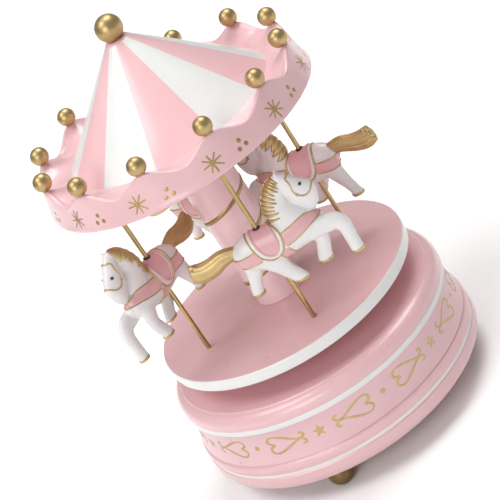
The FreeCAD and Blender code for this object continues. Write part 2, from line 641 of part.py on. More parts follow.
def canopy_brim():
    """The moulded ring of the canopy: a flared skirt, and a gutter that falls from the wave to the roof."""
    edge = brim_edge()

    def circle(radius, z):
        return Part.makeCircle(radius, V(0, 0, z), UP)

    skirt = Part.makeRuledSurface(circle(SKIRT_RADIUS, CANOPY_BOTTOM), edge)
    gutter = Part.makeRuledSurface(edge, circle(ROOF_FOOT_RADIUS, ROOF_FOOT))
    socket = ROOF_SPIGOT_RADIUS + SNUG
    inside_outline = [
        (SKIRT_RADIUS, CANOPY_BOTTOM), (SKIRT_INNER, CANOPY_BOTTOM), (SKIRT_INNER, CEILING_TOP),
        (socket, CEILING_TOP), (socket, ROOF_FOOT), (ROOF_FOOT_RADIUS, ROOF_FOOT),
    ]
    inside = [
        Part.makeLine(V(a[0], 0, a[1]), V(b[0], 0, b[1])).revolve(ORIGIN, UP, 360)
        for a, b in zip(inside_outline, inside_outline[1:])
    ]
    faces = [f for shape in (skirt, gutter, *inside) for f in shape.Faces]
    shell = Part.Shell(faces)
    shell.sewShape()
    brim = Part.Solid(shell)
    if brim.Volume < 0:
        brim.reverse()
    for angle in ball_angles():
        p = polar(BALL_CIRCLE, angle)
        brim = brim.cut(rod(BALL_PEG_RADIUS + SNUG, CREST_TOP - 3.2, CREST_TOP + 2, (p.x, p.y)))
    return brim


def ball_angles():
    return [FIRST_BALL + 360.0 / BALL_COUNT * k for k in range(BALL_COUNT)]


def brim_ball(angle):
    """A gilt ball on a peg, cut flat where it sits on a crest."""
    p = polar(BALL_CIRCLE, angle)
    ball = Part.makeSphere(BALL_RADIUS, V(p.x, p.y, BALL_SEAT + BALL_RADIUS - 0.25))
    ball = ball.cut(rod(BALL_RADIUS, BALL_SEAT - 3, BALL_SEAT + 0.05, (p.x, p.y)))
    return ball.fuse(rod(BALL_PEG_RADIUS, CREST_TOP - 3.0, BALL_SEAT + 1, (p.x, p.y))).removeSplitter()


def canopy_roof():
    """The conical roof, hollow, with a spigot into the brim and a flat top for the finial."""
    slope = (ROOF_FOOT_RADIUS - FINIAL_NECK_RADIUS) / (ROOF_TOP - ROOF_FOOT)
    inner_top = ROOF_TOP - 6.0
    inner_foot = ROOF_SPIGOT_RADIUS - ROOF_WALL
    inner_top_radius = FINIAL_NECK_RADIUS + slope * (ROOF_TOP - inner_top) - ROOF_WALL * 1.45
    return turned([
        (inner_foot, CEILING_TOP), (ROOF_SPIGOT_RADIUS, CEILING_TOP), (ROOF_SPIGOT_RADIUS, ROOF_FOOT),
        (ROOF_FOOT_RADIUS, ROOF_FOOT), (FINIAL_NECK_RADIUS, ROOF_TOP), (FINIAL_PEG_RADIUS + SNUG, ROOF_TOP),
        (FINIAL_PEG_RADIUS + SNUG, inner_top), (inner_top_radius, inner_top), (inner_foot, ROOF_FOOT),
    ])


def finial():
    ball = Part.makeSphere(FINIAL_RADIUS, V(0, 0, ROOF_TOP + FINIAL_RADIUS - 0.5))
    ball = ball.cut(rod(FINIAL_RADIUS, ROOF_TOP - 3, ROOF_TOP))
    return ball.fuse(rod(FINIAL_PEG_RADIUS, ROOF_TOP - 5.0, ROOF_TOP + 1)).removeSplitter()


def section(station, tangent, side):
    """A closed oval across a limb."""
    x, z, depth, width = station
    normal = V(-tangent.z, 0, tangent.x)
    points = []
    for k in range(SECTION_POINTS):
        a = 2 * math.pi * k / SECTION_POINTS
        points.append(V(x, side, z) + normal * (depth * math.cos(a)) + V(0, width * math.sin(a), 0))
    curve = Part.BSplineCurve()
    curve.interpolate(points, PeriodicFlag=True)
    return Part.Wire(curve.toShape())


def limb(stations, side=0.0):
    """A smooth solid through the ovals of a limb, each square to the line through its neighbours."""
    wires = []
    for k, station in enumerate(stations):
        before, after = stations[max(k - 1, 0)], stations[min(k + 1, len(stations) - 1)]
        tangent = V(after[0] - before[0], 0, after[1] - before[1]).normalize()
        wires.append(section(station, tangent, side))
    return Part.makeLoft(wires, True, False)


def saddle():
    """The saddle cloth: a shell just proud of the flanks, open below."""
    x0, x1 = SADDLE_X
    grown = [(x, z, depth + SADDLE_PROUD, width + SADDLE_PROUD) for x, z, depth, width in TORSO]
    return limb(grown).common(box(x0, x1, -10, 10, SADDLE_BOTTOM, 60))


def horse_figure():
    pieces = [limb(NECK), limb(HEAD), limb(TAIL), saddle()]
    pieces += [limb(stations, side) for side, stations in LEGS.values()]
    for side in (-EAR_SPREAD, EAR_SPREAD):
        pieces.append(Part.makeCone(EAR_RADIUS, 0.2, EAR_HEIGHT, V(EAR_FOOT[0], side, EAR_FOOT[1]), UP))
    figure = limb(TORSO)
    for piece in pieces:
        figure = figure.fuse(piece)
    return figure.cut(rod(POLE_RADIUS + RUNNING, 0, 70))


def placed_horse(figure, where):
    """A copy of the figure pushed up its pole and turned to its heading."""
    horse = figure.copy()
    horse.rotate(ORIGIN, UP, HORSE_HEADINGS[where])
    horse.translate(polar(POLE_CIRCLE, POLE_ANGLES[where], DECK_TOP + HORSE_LIFTS[where]))
    return horse


def main():
    os.makedirs("parts", exist_ok=True)
    save("base_drum", base_drum())
    save("ornament_band", ornament_band())
    save("base_plate", base_plate())
    save("plate_screw_posts", group([plate_screw_post(a) for a in PLATE_SCREW_ANGLES]))
    save("plate_screws", group([plate_screw(a) for a in PLATE_SCREW_ANGLES]))
    for where, angle in FOOT_ANGLES.items():
        save(f"ball_foot_{where}", ball_foot(angle))

    save("bed_plate", bed_plate())
    save("movement_screws", group([movement_screw(at) for at in MOVEMENT_SCREWS]))
    save("spring_barrel", spring_barrel())
    save("mainspring", mainspring())
    save("comb", comb())
    save("comb_screws", group([comb_screw(x) for x in COMB_SCREWS_X]))
    save("inner_bracket", inner_bracket())
    save("outer_bracket", outer_bracket())
    save("governor_bracket", governor_bracket())
    save("winding_arbor", winding_arbor())
    save("crown_wheel", crown_wheel())
    save("tune_cylinder", tune_cylinder())
    save("cylinder_arbor", cylinder_arbor())
    save("cylinder_pinion", cylinder_pinion())
    save("cylinder_gear", cylinder_gear())
    save("second_arbor", second_arbor())
    save("second_pinion", second_pinion())
    save("second_wheel", second_wheel())
    save("fly_arbor", fly_arbor())
    save("fly_pinion", fly_pinion())
    save("fly_vane", fly_vane())

    save("shaft_bush", shaft_bush())
    save("thrust_washer", thrust_washer())
    save("drive_hub", drive_hub())
    save("hub_screws", group([hub_screw(a) for a in HUB_SCREW_ANGLES]))
    save("arbor_nut", arbor_nut())

    save("turntable", turntable())
    save("column", column())
    for where, angle in POLE_ANGLES.items():
        save(f"pole_{where}", pole(angle))
    save("canopy_ceiling", canopy_ceiling())
    save("canopy_brim", canopy_brim())
    save("canopy_roof", canopy_roof())
    save("brim_balls", group([brim_ball(a) for a in ball_angles()]))
    save("finial", finial())

    figure = horse_figure()
    for where in POLE_ANGLES:
        save(f"horse_{where}", placed_horse(figure, where))


main()
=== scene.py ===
"""Carousel music box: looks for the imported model. Lengths are in mm until a mesh is written."""

import json
import math

import bmesh
import bpy
import numpy as np
from mathutils import Matrix, Vector
from mathutils.bvhtree import BVHTree


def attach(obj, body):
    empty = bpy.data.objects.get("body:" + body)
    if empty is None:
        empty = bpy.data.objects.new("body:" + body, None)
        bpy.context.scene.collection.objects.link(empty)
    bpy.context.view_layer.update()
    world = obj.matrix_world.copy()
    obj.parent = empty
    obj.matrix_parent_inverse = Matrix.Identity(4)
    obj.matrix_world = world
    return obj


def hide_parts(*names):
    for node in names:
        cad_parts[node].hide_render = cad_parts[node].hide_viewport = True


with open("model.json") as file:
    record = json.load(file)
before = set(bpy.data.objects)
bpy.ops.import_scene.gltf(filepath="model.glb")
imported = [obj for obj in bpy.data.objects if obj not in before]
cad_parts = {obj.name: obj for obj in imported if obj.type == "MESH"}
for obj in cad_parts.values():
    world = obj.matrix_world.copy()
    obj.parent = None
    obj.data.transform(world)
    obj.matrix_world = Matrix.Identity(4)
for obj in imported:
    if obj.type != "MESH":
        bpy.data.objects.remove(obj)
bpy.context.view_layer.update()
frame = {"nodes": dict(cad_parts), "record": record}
MM = 0.001
TAU = 2 * math.pi


# Heights and radii, as in the part's source
BASE_BOTTOM, BASE_TOP = 8.0, 42.5
DECK_BOTTOM, DECK_TOP, DECK_RADIUS = 51.4, 56.0, 49.4
COLUMN_RADIUS, CEILING_BOTTOM = 9.8, 128.2
SKIRT_BOTTOM, SKIRT_RADIUS, BRIM_EDGE_RADIUS = 125.5, 52.0, 49.8
SKIRT_FOOT, SKIRT_MIDDLE_RADIUS, LIP_RADIUS = 126.0, 51.0, 1.0
CREST_TOP, VALLEY_TOP = 138.7, 134.2
ROOF_FOOT, ROOF_TOP, ROOF_FOOT_RADIUS, ROOF_NECK_RADIUS = 133.4, 166.8, 39.0, 4.0
STRIPE_PAIRS = 6
BALL_COUNT, FIRST_BALL, BALL_CIRCLE, BALL_RADIUS, BALL_CENTRE_Z = 12, 9.1, 48.0, 3.3, 141.45
FINIAL_RADIUS, FINIAL_CENTRE_Z = 4.9, 171.2
POLE_CIRCLE, POLE_RADIUS = 34.0, 0.85
POLE_ANGLES = {"right": 16.0, "back": 104.0, "left": 195.0, "front": 277.0}
HORSE_HEADINGS = {"right": 149.0, "back": 313.0, "left": 227.0, "front": 347.0}
HORSE_LIFTS = {"right": -1.4, "back": 0.5, "left": 3.7, "front": 1.2}
FOOT_RADIUS, FOOT_CIRCLE = 4.8, 46.2
FOOT_ANGLES = {"front": 247.0, "right": 7.0, "back": 127.0}


# Shader values

class Signal:
    """A socket of a material. Arithmetic on it adds Math nodes; add() makes any other node."""

    def __init__(self, tree, socket=None):
        self.tree, self.socket = tree, socket

    def add(self, kind, settings=None, inputs=None, output=0):
        node = self.tree.nodes.new(kind)
        for key, value in (settings or {}).items():
            setattr(node, key, value)
        for key, value in (inputs or {}).items():
            if isinstance(value, Signal):
                self.tree.links.new(value.socket, node.inputs[key])
            else:
                node.inputs[key].default_value = value
        return Signal(self.tree, node.outputs[output])

    def math(self, operation, *values, clamp=False):
        settings = {"operation": operation, "use_clamp": clamp}
        return self.add("ShaderNodeMath", settings, dict(enumerate(values)))

    def __add__(self, other):
        return self.math("ADD", self, other)

    def __sub__(self, other):
        return self.math("SUBTRACT", self, other)

    def __rsub__(self, other):
        return self.math("SUBTRACT", other, self)

    def __mul__(self, other):
        return self.math("MULTIPLY", self, other)

    def __truediv__(self, other):
        return self.math("DIVIDE", self, other)

    __radd__, __rmul__ = __add__, __mul__

    def above(self, edge, soft):
        """0 below the edge, 1 above it, with a ramp of the given width between."""
        return self.math("ADD", (self - edge) / soft, 0.5, clamp=True)

    def within(self, low, high, soft):
        """1 between two edges, 0 outside them."""
        return self.above(low, soft) * (1 - self.above(high, soft))

    def place(self):
        """Object coordinates in metres."""
        return self.add("ShaderNodeTexCoord", output="Object")

    def parts(self):
        """The three components of this vector of metres, in millimetres."""
        split = self.add("ShaderNodeSeparateXYZ", inputs={"Vector": self})
        return [Signal(self.tree, output) * (1 / MM) for output in split.socket.node.outputs]

    def noise(self, size_mm, detail=2.0, stretch=None):
        """Noise between 0 and 1 over this vector, with a feature size in millimetres."""
        vector = self
        if stretch:
            vector = self.add("ShaderNodeMapping", inputs={"Vector": self, "Scale": stretch})
        grain = {"Vector": vector, "Scale": (1 / MM) / size_mm, "Detail": detail, "Roughness": 0.55}
        return self.add("ShaderNodeTexNoise", {"noise_dimensions": "3D"}, grain)

    def mix(self, factor, first, second):
        """A colour between two colours. The node's sockets go by number, since their names repeat."""
        inputs = {0: factor, 6: first, 7: second}
        return self.add("ShaderNodeMix", {"data_type": "RGBA"}, inputs, output=2)


def rgb(r, g, b):
    return (r, g, b, 1.0)


def tinted(colour, factors):
    """A colour with its three channels multiplied."""
    return rgb(*(c * k for c, k in zip(colour, factors)))


def finish(name, paint, **constants):
    """A Principled material. paint(start) returns {socket name: Signal}, and "bump" as (height, mm)."""
    material = bpy.data.materials.new(name)
    material.use_nodes = True
    tree = material.node_tree
    shader = tree.nodes["Principled BSDF"]
    for key, value in constants.items():
        shader.inputs[key.replace("_", " ")].default_value = value
    start = Signal(tree)
    looks = paint(start)
    height, depth_mm = looks.pop("bump")
    relief = {"Height": height, "Strength": 1.0, "Distance": depth_mm * MM}
    looks["Normal"] = start.add("ShaderNodeBump", inputs=relief)
    for key, value in looks.items():
        tree.links.new(value.socket, shader.inputs[key])
    return material


def varnished(name, paint, weight, rough):
    """A finish under a clear coat."""
    return finish(name, paint, Coat_Weight=weight, Coat_Roughness=rough)


PINK = rgb(0.865, 0.560, 0.580)
ROOF_PINK = rgb(0.920, 0.580, 0.600)
PALE_PINK = rgb(0.940, 0.690, 0.710)
BAND_PINK = rgb(0.845, 0.560, 0.590)
WHITE = rgb(0.860, 0.860, 0.840)
GOLD = rgb(0.600, 0.440, 0.190)
GOLD_LIGHT = rgb(0.860, 0.700, 0.380)
GOLD_DARK = rgb(0.240, 0.135, 0.045)
BRONZE = rgb(0.440, 0.310, 0.130)
BRONZE_LIGHT = rgb(0.680, 0.530, 0.270)
BALL_GOLD = rgb(0.490, 0.350, 0.150)
BALL_GOLD_LIGHT = rgb(0.780, 0.620, 0.330)
# Gilt of the feet darkened as painted shade: the same gold, dimmed for the shadow under the base
SHADED_FOOT_GOLD = rgb(0.170, 0.110, 0.050)
SHADED_FOOT_GOLD_LIGHT = rgb(0.280, 0.190, 0.080)
HORSE_WHITE = rgb(0.890, 0.895, 0.885)
TACK_PINK = rgb(0.840, 0.490, 0.515)
EYE_BLACK, EYE_BLACKER = rgb(0.03, 0.025, 0.03), rgb(0.015, 0.012, 0.015)
EYE_GREY, EYE_PALE = rgb(0.55, 0.58, 0.63), rgb(0.70, 0.71, 0.73)
DUST = rgb(0.920, 0.860, 0.840)
DEEPER_PINK, DEEPER_WHITE = (0.955, 0.90, 0.91), (0.95, 0.95, 0.95)
PAINT_EDGE = 0.12


def lacquer(colour, other=None, mask=None):
    """Sprayed lacquer: faint cloudy colour, fine orange peel and a little dust.
    The other colour shows where mask(at) is 1."""
    def paint(start):
        at = start.place()
        cloud = at.noise(9.0, 3.0)
        speck = at.noise(0.9).above(0.70, 0.06)
        peel = at.noise(0.55)
        tone = start.mix(cloud, tinted(colour, DEEPER_PINK), colour)
        if mask:
            tone = start.mix(mask(at), tone, start.mix(cloud, tinted(other, DEEPER_WHITE), other))
        tone = start.mix(speck * 0.12, tone, DUST)
        return {
            "Base Color": tone,
            "Roughness": 0.24 + cloud * 0.12 + speck * 0.15,
            "bump": (peel + cloud * 1.5, 0.012),
        }
    return paint


def unsteady(at, size_mm, sway):
    """The wander of a hand-painted edge, up to half the sway either way."""
    return (at.noise(size_mm) - 0.5) * sway


def drum_lines(at):
    """The two white lines on the base."""
    _, _, z = at.parts()
    z = z + unsteady(at, 6.0, 0.35)
    return z.within(34.15, 36.3, PAINT_EDGE) + z.within(15.15, 16.25, PAINT_EDGE)


def deck_edge(at):
    """The white edge of the turntable, just short of its top corner."""
    x, y, _ = at.parts()
    radius = at.math("SQRT", x * x + y * y)
    return (radius + unsteady(at, 5.0, 0.3)).above(DECK_RADIUS - 0.30, PAINT_EDGE)


def roof_stripes(at):
    """Stripes by the sign of a sine of the angle, drifting once round. They end at the neck."""
    x, y, _ = at.parts()
    angle = at.math("ARCTAN2", y, x) + unsteady(at, 7.0, 0.012)
    drift = at.math("SINE", angle - math.radians(275.0)) * math.radians(7.0)
    wave = at.math("SINE", (angle - drift - math.radians(4.0)) * STRIPE_PAIRS - math.radians(240.0))
    radius = at.math("SQRT", x * x + y * y)
    return (wave * radius * (1 / STRIPE_PAIRS)).above(0.0, PAINT_EDGE) * radius.above(4.6, 0.6)


def gilding(light, mid, rough, depth=0.02):
    """Gold paint: brushed tone, small dark pits, and roughness that follows both."""
    def paint(start):
        at = start.place()
        cloud = at.noise(3.0, 4.0)
        brush = at.noise(0.7, 3.0, stretch=(1.0, 1.0, 0.35))
        pits = at.noise(1.1).above(0.68, 0.10)
        tone = start.mix(cloud * 0.6 + brush * 0.4, GOLD_DARK, light)
        tone = start.mix(0.45, tone, mid)
        return {
            "Base Color": start.mix(pits * 0.35, tone, GOLD_DARK),
            "Roughness": rough + brush * 0.16 + pits * 0.15,
            "bump": (brush + cloud, depth),
        }
    return paint


def plain_paint(colour, shade, size_mm, rough, grain=(1, 1, 1)):
    """A two-tone finish: wood grain, turned metal, moulded plastic or enamel."""
    def paint(start):
        at = start.place()
        grainy = at.noise(size_mm, 4.0, stretch=grain)
        fine = at.noise(size_mm * 0.2)
        return {
            "Base Color": start.mix(grainy, shade, colour),
            "Roughness": rough + fine * 0.15,
            "bump": (grainy + fine, 0.02),
        }
    return paint


MATERIALS = {
    "drum": varnished("drum_lacquer", lacquer(PINK, WHITE, drum_lines), 0.35, 0.12),
    "band": varnished("band_print", lacquer(BAND_PINK), 0.15, 0.2),
    "deck": varnished("deck_lacquer", lacquer(PINK, WHITE, deck_edge), 0.5, 0.1),
    "pink": varnished("pink_lacquer", lacquer(PINK), 0.35, 0.12),
    "column": varnished("column_lacquer", lacquer(PALE_PINK), 0.35, 0.12),
    "brim": varnished("brim_lacquer", lacquer(PINK), 0.4, 0.1),
    "roof": varnished("roof_stripes", lacquer(ROOF_PINK, WHITE, roof_stripes), 0.3, 0.15),
    "gilt": finish("gilt_balls", gilding(BALL_GOLD_LIGHT, BALL_GOLD, 0.34, depth=0.05), Metallic=0.9),
    # The feet's gilding carries painted shade from the base above them
    "foot": finish("gilt_feet_painted_shade", gilding(SHADED_FOOT_GOLD_LIGHT, SHADED_FOOT_GOLD, 0.40), Metallic=0.8),
    "pole": finish("gilt_poles", gilding(BRONZE_LIGHT, BRONZE, 0.13), Metallic=1.0),
    "burst": finish("bronze_print", gilding(BRONZE_LIGHT, BRONZE, 0.34), Metallic=0.85),
    "print": finish("gold_print", gilding(GOLD_LIGHT, GOLD, 0.40), Metallic=0.75),
    "horse": varnished("horse_paint", lacquer(HORSE_WHITE), 0.2, 0.2),
    "mane": finish("mane_gilding", gilding(GOLD_LIGHT, GOLD, 0.36), Metallic=0.85),
    "tack": varnished("pink_tack", lacquer(TACK_PINK), 0.3, 0.15),
    "lid": finish("eye_shadow", plain_paint(EYE_GREY, EYE_PALE, 0.6, 0.35)),
    # Black enamel also makes the painted shadow disc round each pole's hole in the saddle
    "eye": finish("eye_enamel", plain_paint(EYE_BLACK, EYE_BLACKER, 0.5, 0.12)),
}
# Slots of the solids that show as they are: share of metal, then what plain_paint takes
INNER_LOOKS = {
    "raw_board": (0.0, rgb(0.52, 0.36, 0.20), rgb(0.36, 0.23, 0.12), 6.0, 0.6, (0.12, 1, 1)),
    "hub_wood": (0.0, rgb(0.50, 0.25, 0.27), rgb(0.36, 0.17, 0.19), 3.0, 0.5, (1, 1, 0.2)),
    "screw_steel": (1.0, rgb(0.55, 0.55, 0.56), rgb(0.40, 0.40, 0.41), 1.0, 0.3),
    "spring_steel": (1.0, rgb(0.48, 0.49, 0.52), rgb(0.36, 0.37, 0.40), 1.5, 0.3, (1, 0.1, 1)),
    "cast_bed": (0.9, rgb(0.50, 0.49, 0.46), rgb(0.38, 0.37, 0.35), 2.0, 0.45),
    "brass": (1.0, rgb(0.70, 0.50, 0.20), rgb(0.52, 0.36, 0.13), 1.2, 0.25, (0.15, 1, 1)),
    "nylon": (0.0, rgb(0.78, 0.77, 0.70), rgb(0.66, 0.65, 0.58), 2.0, 0.5),
    "fly_plastic": (0.0, rgb(0.05, 0.05, 0.055), rgb(0.03, 0.03, 0.035), 1.0, 0.5),
}
INNER = {
    **{slot: finish(slot, plain_paint(*look), Metallic=metal)
       for slot, (metal, *look) in INNER_LOOKS.items()},
    "pink_lacquer": MATERIALS["pink"],
    "gilt_ball": MATERIALS["gilt"],
    "gilt_pole": MATERIALS["pole"],
    "horse_white": MATERIALS["horse"],
}


# Meshes from arrays

WELD, SLIVER = 2e-6, 1e-7


def sheet(points, wrap_rows=False, wrap_columns=False):
    """(points, quads) of a surface given as a grid of points."""
    rows, columns = points.shape[:2]
    r = np.arange(rows if wrap_rows else rows - 1)[:, None]
    c = np.arange(columns if wrap_columns else columns - 1)[None, :]
    r1, c1 = (r + 1) % rows, (c + 1) % columns
    quads = np.stack([r * columns + c, r * columns + c1, r1 * columns + c1, r1 * columns + c], -1)
    return points.reshape(-1, 3), quads.reshape(-1, 4)


def merged(sheets):
    """Several (points, quads) as one."""
    points, quads, start = [], [], 0
    for p, q in sheets:
        points.append(p)
        quads.append(q + start)
        start += len(p)
    return np.concatenate(points), np.concatenate(quads)


def piece(name, shape, material, body, nodes=(), sharp=40.0):
    """Writes (points in mm, quads) as an object that rides on a body and stands for CAD nodes."""
    points, quads = shape
    mesh = bpy.data.meshes.new(name)
    mesh.vertices.add(len(points))
    mesh.vertices.foreach_set("co", (points * MM).astype(np.float32).ravel())
    mesh.loops.add(quads.size)
    mesh.loops.foreach_set("vertex_index", quads.astype(np.int32).ravel())
    mesh.polygons.add(len(quads))
    mesh.polygons.foreach_set("loop_start", np.arange(0, quads.size, 4, dtype=np.int32))
    mesh.update(calc_edges=True)
    mesh.validate()
    b = bmesh.new()
    b.from_mesh(mesh)
    bmesh.ops.remove_doubles(b, verts=b.verts, dist=WELD)
    bmesh.ops.dissolve_degenerate(b, edges=b.edges, dist=SLIVER)
    bmesh.ops.recalc_face_normals(b, faces=b.faces)
    b.to_mesh(mesh)
    b.free()
    mesh.shade_smooth()
    mesh.set_sharp_from_angle(angle=math.radians(sharp))
    mesh.materials.append(MATERIALS[material])
    obj = bpy.data.objects.new(name, mesh)
    bpy.context.scene.collection.objects.link(obj)
    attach(obj, body)
    if nodes:
        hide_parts(*nodes)


# Shapes

def arc(p, q, r, steps):
    """Points on the circle through three (radius, height) pairs, from the first to the last."""
    (ax, ay), (bx, by), (cx, cy) = p, q, r
    d = 2 * (ax * (by - cy) + bx * (cy - ay) + cx * (ay - by))
    a2, b2, c2 = ax * ax + ay * ay, bx * bx + by * by, cx * cx + cy * cy
    ux = (a2 * (by - cy) + b2 * (cy - ay) + c2 * (ay - by)) / d
    uy = (a2 * (cx - bx) + b2 * (ax - cx) + c2 * (bx - ax)) / d
    radius = math.hypot(ax - ux, ay - uy)
    angles = np.unwrap([math.atan2(y - uy, x - ux) for x, y in (p, q, r)])
    t = np.linspace(angles[0], angles[2], steps + 1)
    return np.stack([ux + radius * np.cos(t), uy + radius * np.sin(t)], -1)


def eased(corners, round_mm, steps=5):
    """A path through (radius, height) corners, each rounded by a parabola from round_mm before it."""
    corners = np.array(corners, float)
    before, here, after = corners[:-2], corners[1:-1], corners[2:]
    reach_in = np.linalg.norm(here - before, axis=1, keepdims=True)
    reach_out = np.linalg.norm(after - here, axis=1, keepdims=True)
    a = here + (before - here) * np.minimum(round_mm / reach_in, 0.45)
    b = here + (after - here) * np.minimum(round_mm / reach_out, 0.45)
    t = np.linspace(0, 1, steps + 1)[None, :, None]
    bends = (1 - t) ** 2 * a[:, None] + 2 * t * (1 - t) * here[:, None] + t * t * b[:, None]
    return np.concatenate([corners[:1], bends.reshape(-1, 2), corners[-1:]])


def lathe(profile, segments, closed=False):
    """A profile of (radius, height) turned round the vertical axis."""
    a = np.linspace(0, TAU, segments, endpoint=False)
    r, z = profile[:, :1], profile[:, 1:]
    points = np.stack([r * np.cos(a), r * np.sin(a), z + 0 * a], -1)
    return sheet(points, wrap_rows=closed, wrap_columns=True)


def ball(centre, radius, low, segments=48, rings=28):
    """A sphere from the height low * radius (flat underneath) to its top."""
    t = np.linspace(math.asin(low), math.pi / 2, rings + 1)
    profile = np.stack([np.cos(t) * radius, np.sin(t) * radius], -1)
    profile = np.concatenate([[[0.0, low * radius]], profile])
    return shifted(lathe(profile, segments), centre)


def polar(radius, degrees, z=0.0):
    """A point by its distance from the axis, azimuth and height."""
    a = np.radians(degrees)
    return np.array([radius * np.cos(a), radius * np.sin(a), z])


def shifted(shape, offset):
    """A shape moved as a whole."""
    points, quads = shape
    return points + np.array(offset), quads


BAND_OUTLINE = [(54.9, 20.62), (53.5, 27.6), (53.5, 33.98)]
BAND_THICKNESS = 0.28
FOOT_FLAT = 0.35


def make_base():
    """The turned drum, the printed strip round its waist and the feet."""
    lower = arc((51.4, BASE_BOTTOM), (54.5, 9.3), (55.8, 12.4), 10)
    ridge = arc((55.55, 16.8), (55.72, 18.3), (55.4, 19.6), 8)
    waist = arc((54.5, 20.5), (53.2, 27.6), (53.2, 34.0), 6)
    shoulder = arc((54.1, 36.6), (53.9, 39.4), (51.2, 41.85), 14)
    groove = [(55.8, 13.4), (55.8, 14.7), (55.35, 15.0), (55.35, 16.45), (55.55, 16.8)]
    crease = [(51.1, 41.9), (50.85, 41.98), (50.7, 42.3), (50.3, 42.42), (48.4, BASE_TOP)]
    profile = np.concatenate([
        [(44.2, BASE_BOTTOM)], eased([(44.2, BASE_BOTTOM), (51.0, BASE_BOTTOM), *lower[1:3]], 0.4),
        lower[3:], eased(groove, 0.18), ridge[1:],
        eased([(55.4, 19.6), (54.75, 20.05), (54.5, 20.3)], 0.2), waist[1:],
        eased([(53.2, 34.0), (53.95, 34.05), (54.25, 34.35), (54.25, 36.1), (54.1, 36.45)], 0.2),
        shoulder, eased(crease, 0.15, 4), [(30.0, BASE_TOP), (7.2, BASE_TOP)],
        [(7.2, 41.0), (42.0, 39.0), (42.0, 12.0), (44.2, 10.6), (44.2, BASE_BOTTOM)],
    ])
    drum = lathe(profile, 256)
    piece("base_drum_turned", drum, "drum", "base", ["base_drum"], sharp=50)
    outer = arc(*BAND_OUTLINE, 24)
    inner = arc(*((r - BAND_THICKNESS, z) for r, z in BAND_OUTLINE), 24)[::-1]
    strip = lathe(np.concatenate([outer, inner]), 256, closed=True)
    piece("ornament_strip", strip, "band", "base", ["ornament_band"], sharp=50)
    centre_z = FOOT_RADIUS - FOOT_FLAT
    for where, angle in FOOT_ANGLES.items():
        foot = ball(polar(FOOT_CIRCLE, angle, centre_z), FOOT_RADIUS, low=-centre_z / FOOT_RADIUS)
        piece(f"foot_{where}", foot, "foot", "base", [f"ball_foot_{where}"])


def make_carousel():
    """The turntable, the column and the poles."""
    corners = [(0.5, DECK_TOP), (DECK_RADIUS, DECK_TOP), (DECK_RADIUS, DECK_BOTTOM), (4.6, DECK_BOTTOM)]
    profile = np.concatenate([[(0.0, DECK_TOP)], eased(corners, 0.55, 6), [(4.6, 54.0), (0.0, 54.0)]])
    piece("turntable_disc", lathe(profile, 256), "deck", "carousel", ["turntable"])

    foot = eased([(0.5, DECK_TOP), (COLUMN_RADIUS, DECK_TOP), (COLUMN_RADIUS, DECK_TOP + 3.0)], 0.5)
    shaft = np.linspace((COLUMN_RADIUS, DECK_TOP + 4.0), (COLUMN_RADIUS, CEILING_BOTTOM), 24)
    profile = np.concatenate([[(0.0, DECK_TOP)], foot, shaft, [(0.0, CEILING_BOTTOM)]])
    piece("column_pillar", lathe(profile, 128), "column", "carousel", ["column"])

    low, high = DECK_TOP - 2.0, CEILING_BOTTOM + 1.0
    rod = np.linspace((POLE_RADIUS, low), (POLE_RADIUS, high), 60)
    rod = lathe(np.concatenate([[(0.0, low)], rod, [(0.0, high)]]), 24)
    for where, angle in POLE_ANGLES.items():
        pole = shifted(rod, polar(POLE_CIRCLE, angle))
        piece(f"pole_rod_{where}", pole, "pole", "carousel", [f"pole_{where}"])


def brim_crest(angle):
    """Height of the scalloped edge at an angle in radians: a wave with a crest at every ball."""
    middle, swing = (CREST_TOP + VALLEY_TOP) / 2, (CREST_TOP - VALLEY_TOP) / 2
    return middle + swing * np.cos(BALL_COUNT * (angle - math.radians(FIRST_BALL)))


def skirt_radius(share):
    """Radius of the flared skirt by share of its height."""
    return SKIRT_RADIUS + (BRIM_EDGE_RADIUS - SKIRT_RADIUS) * share ** 0.8


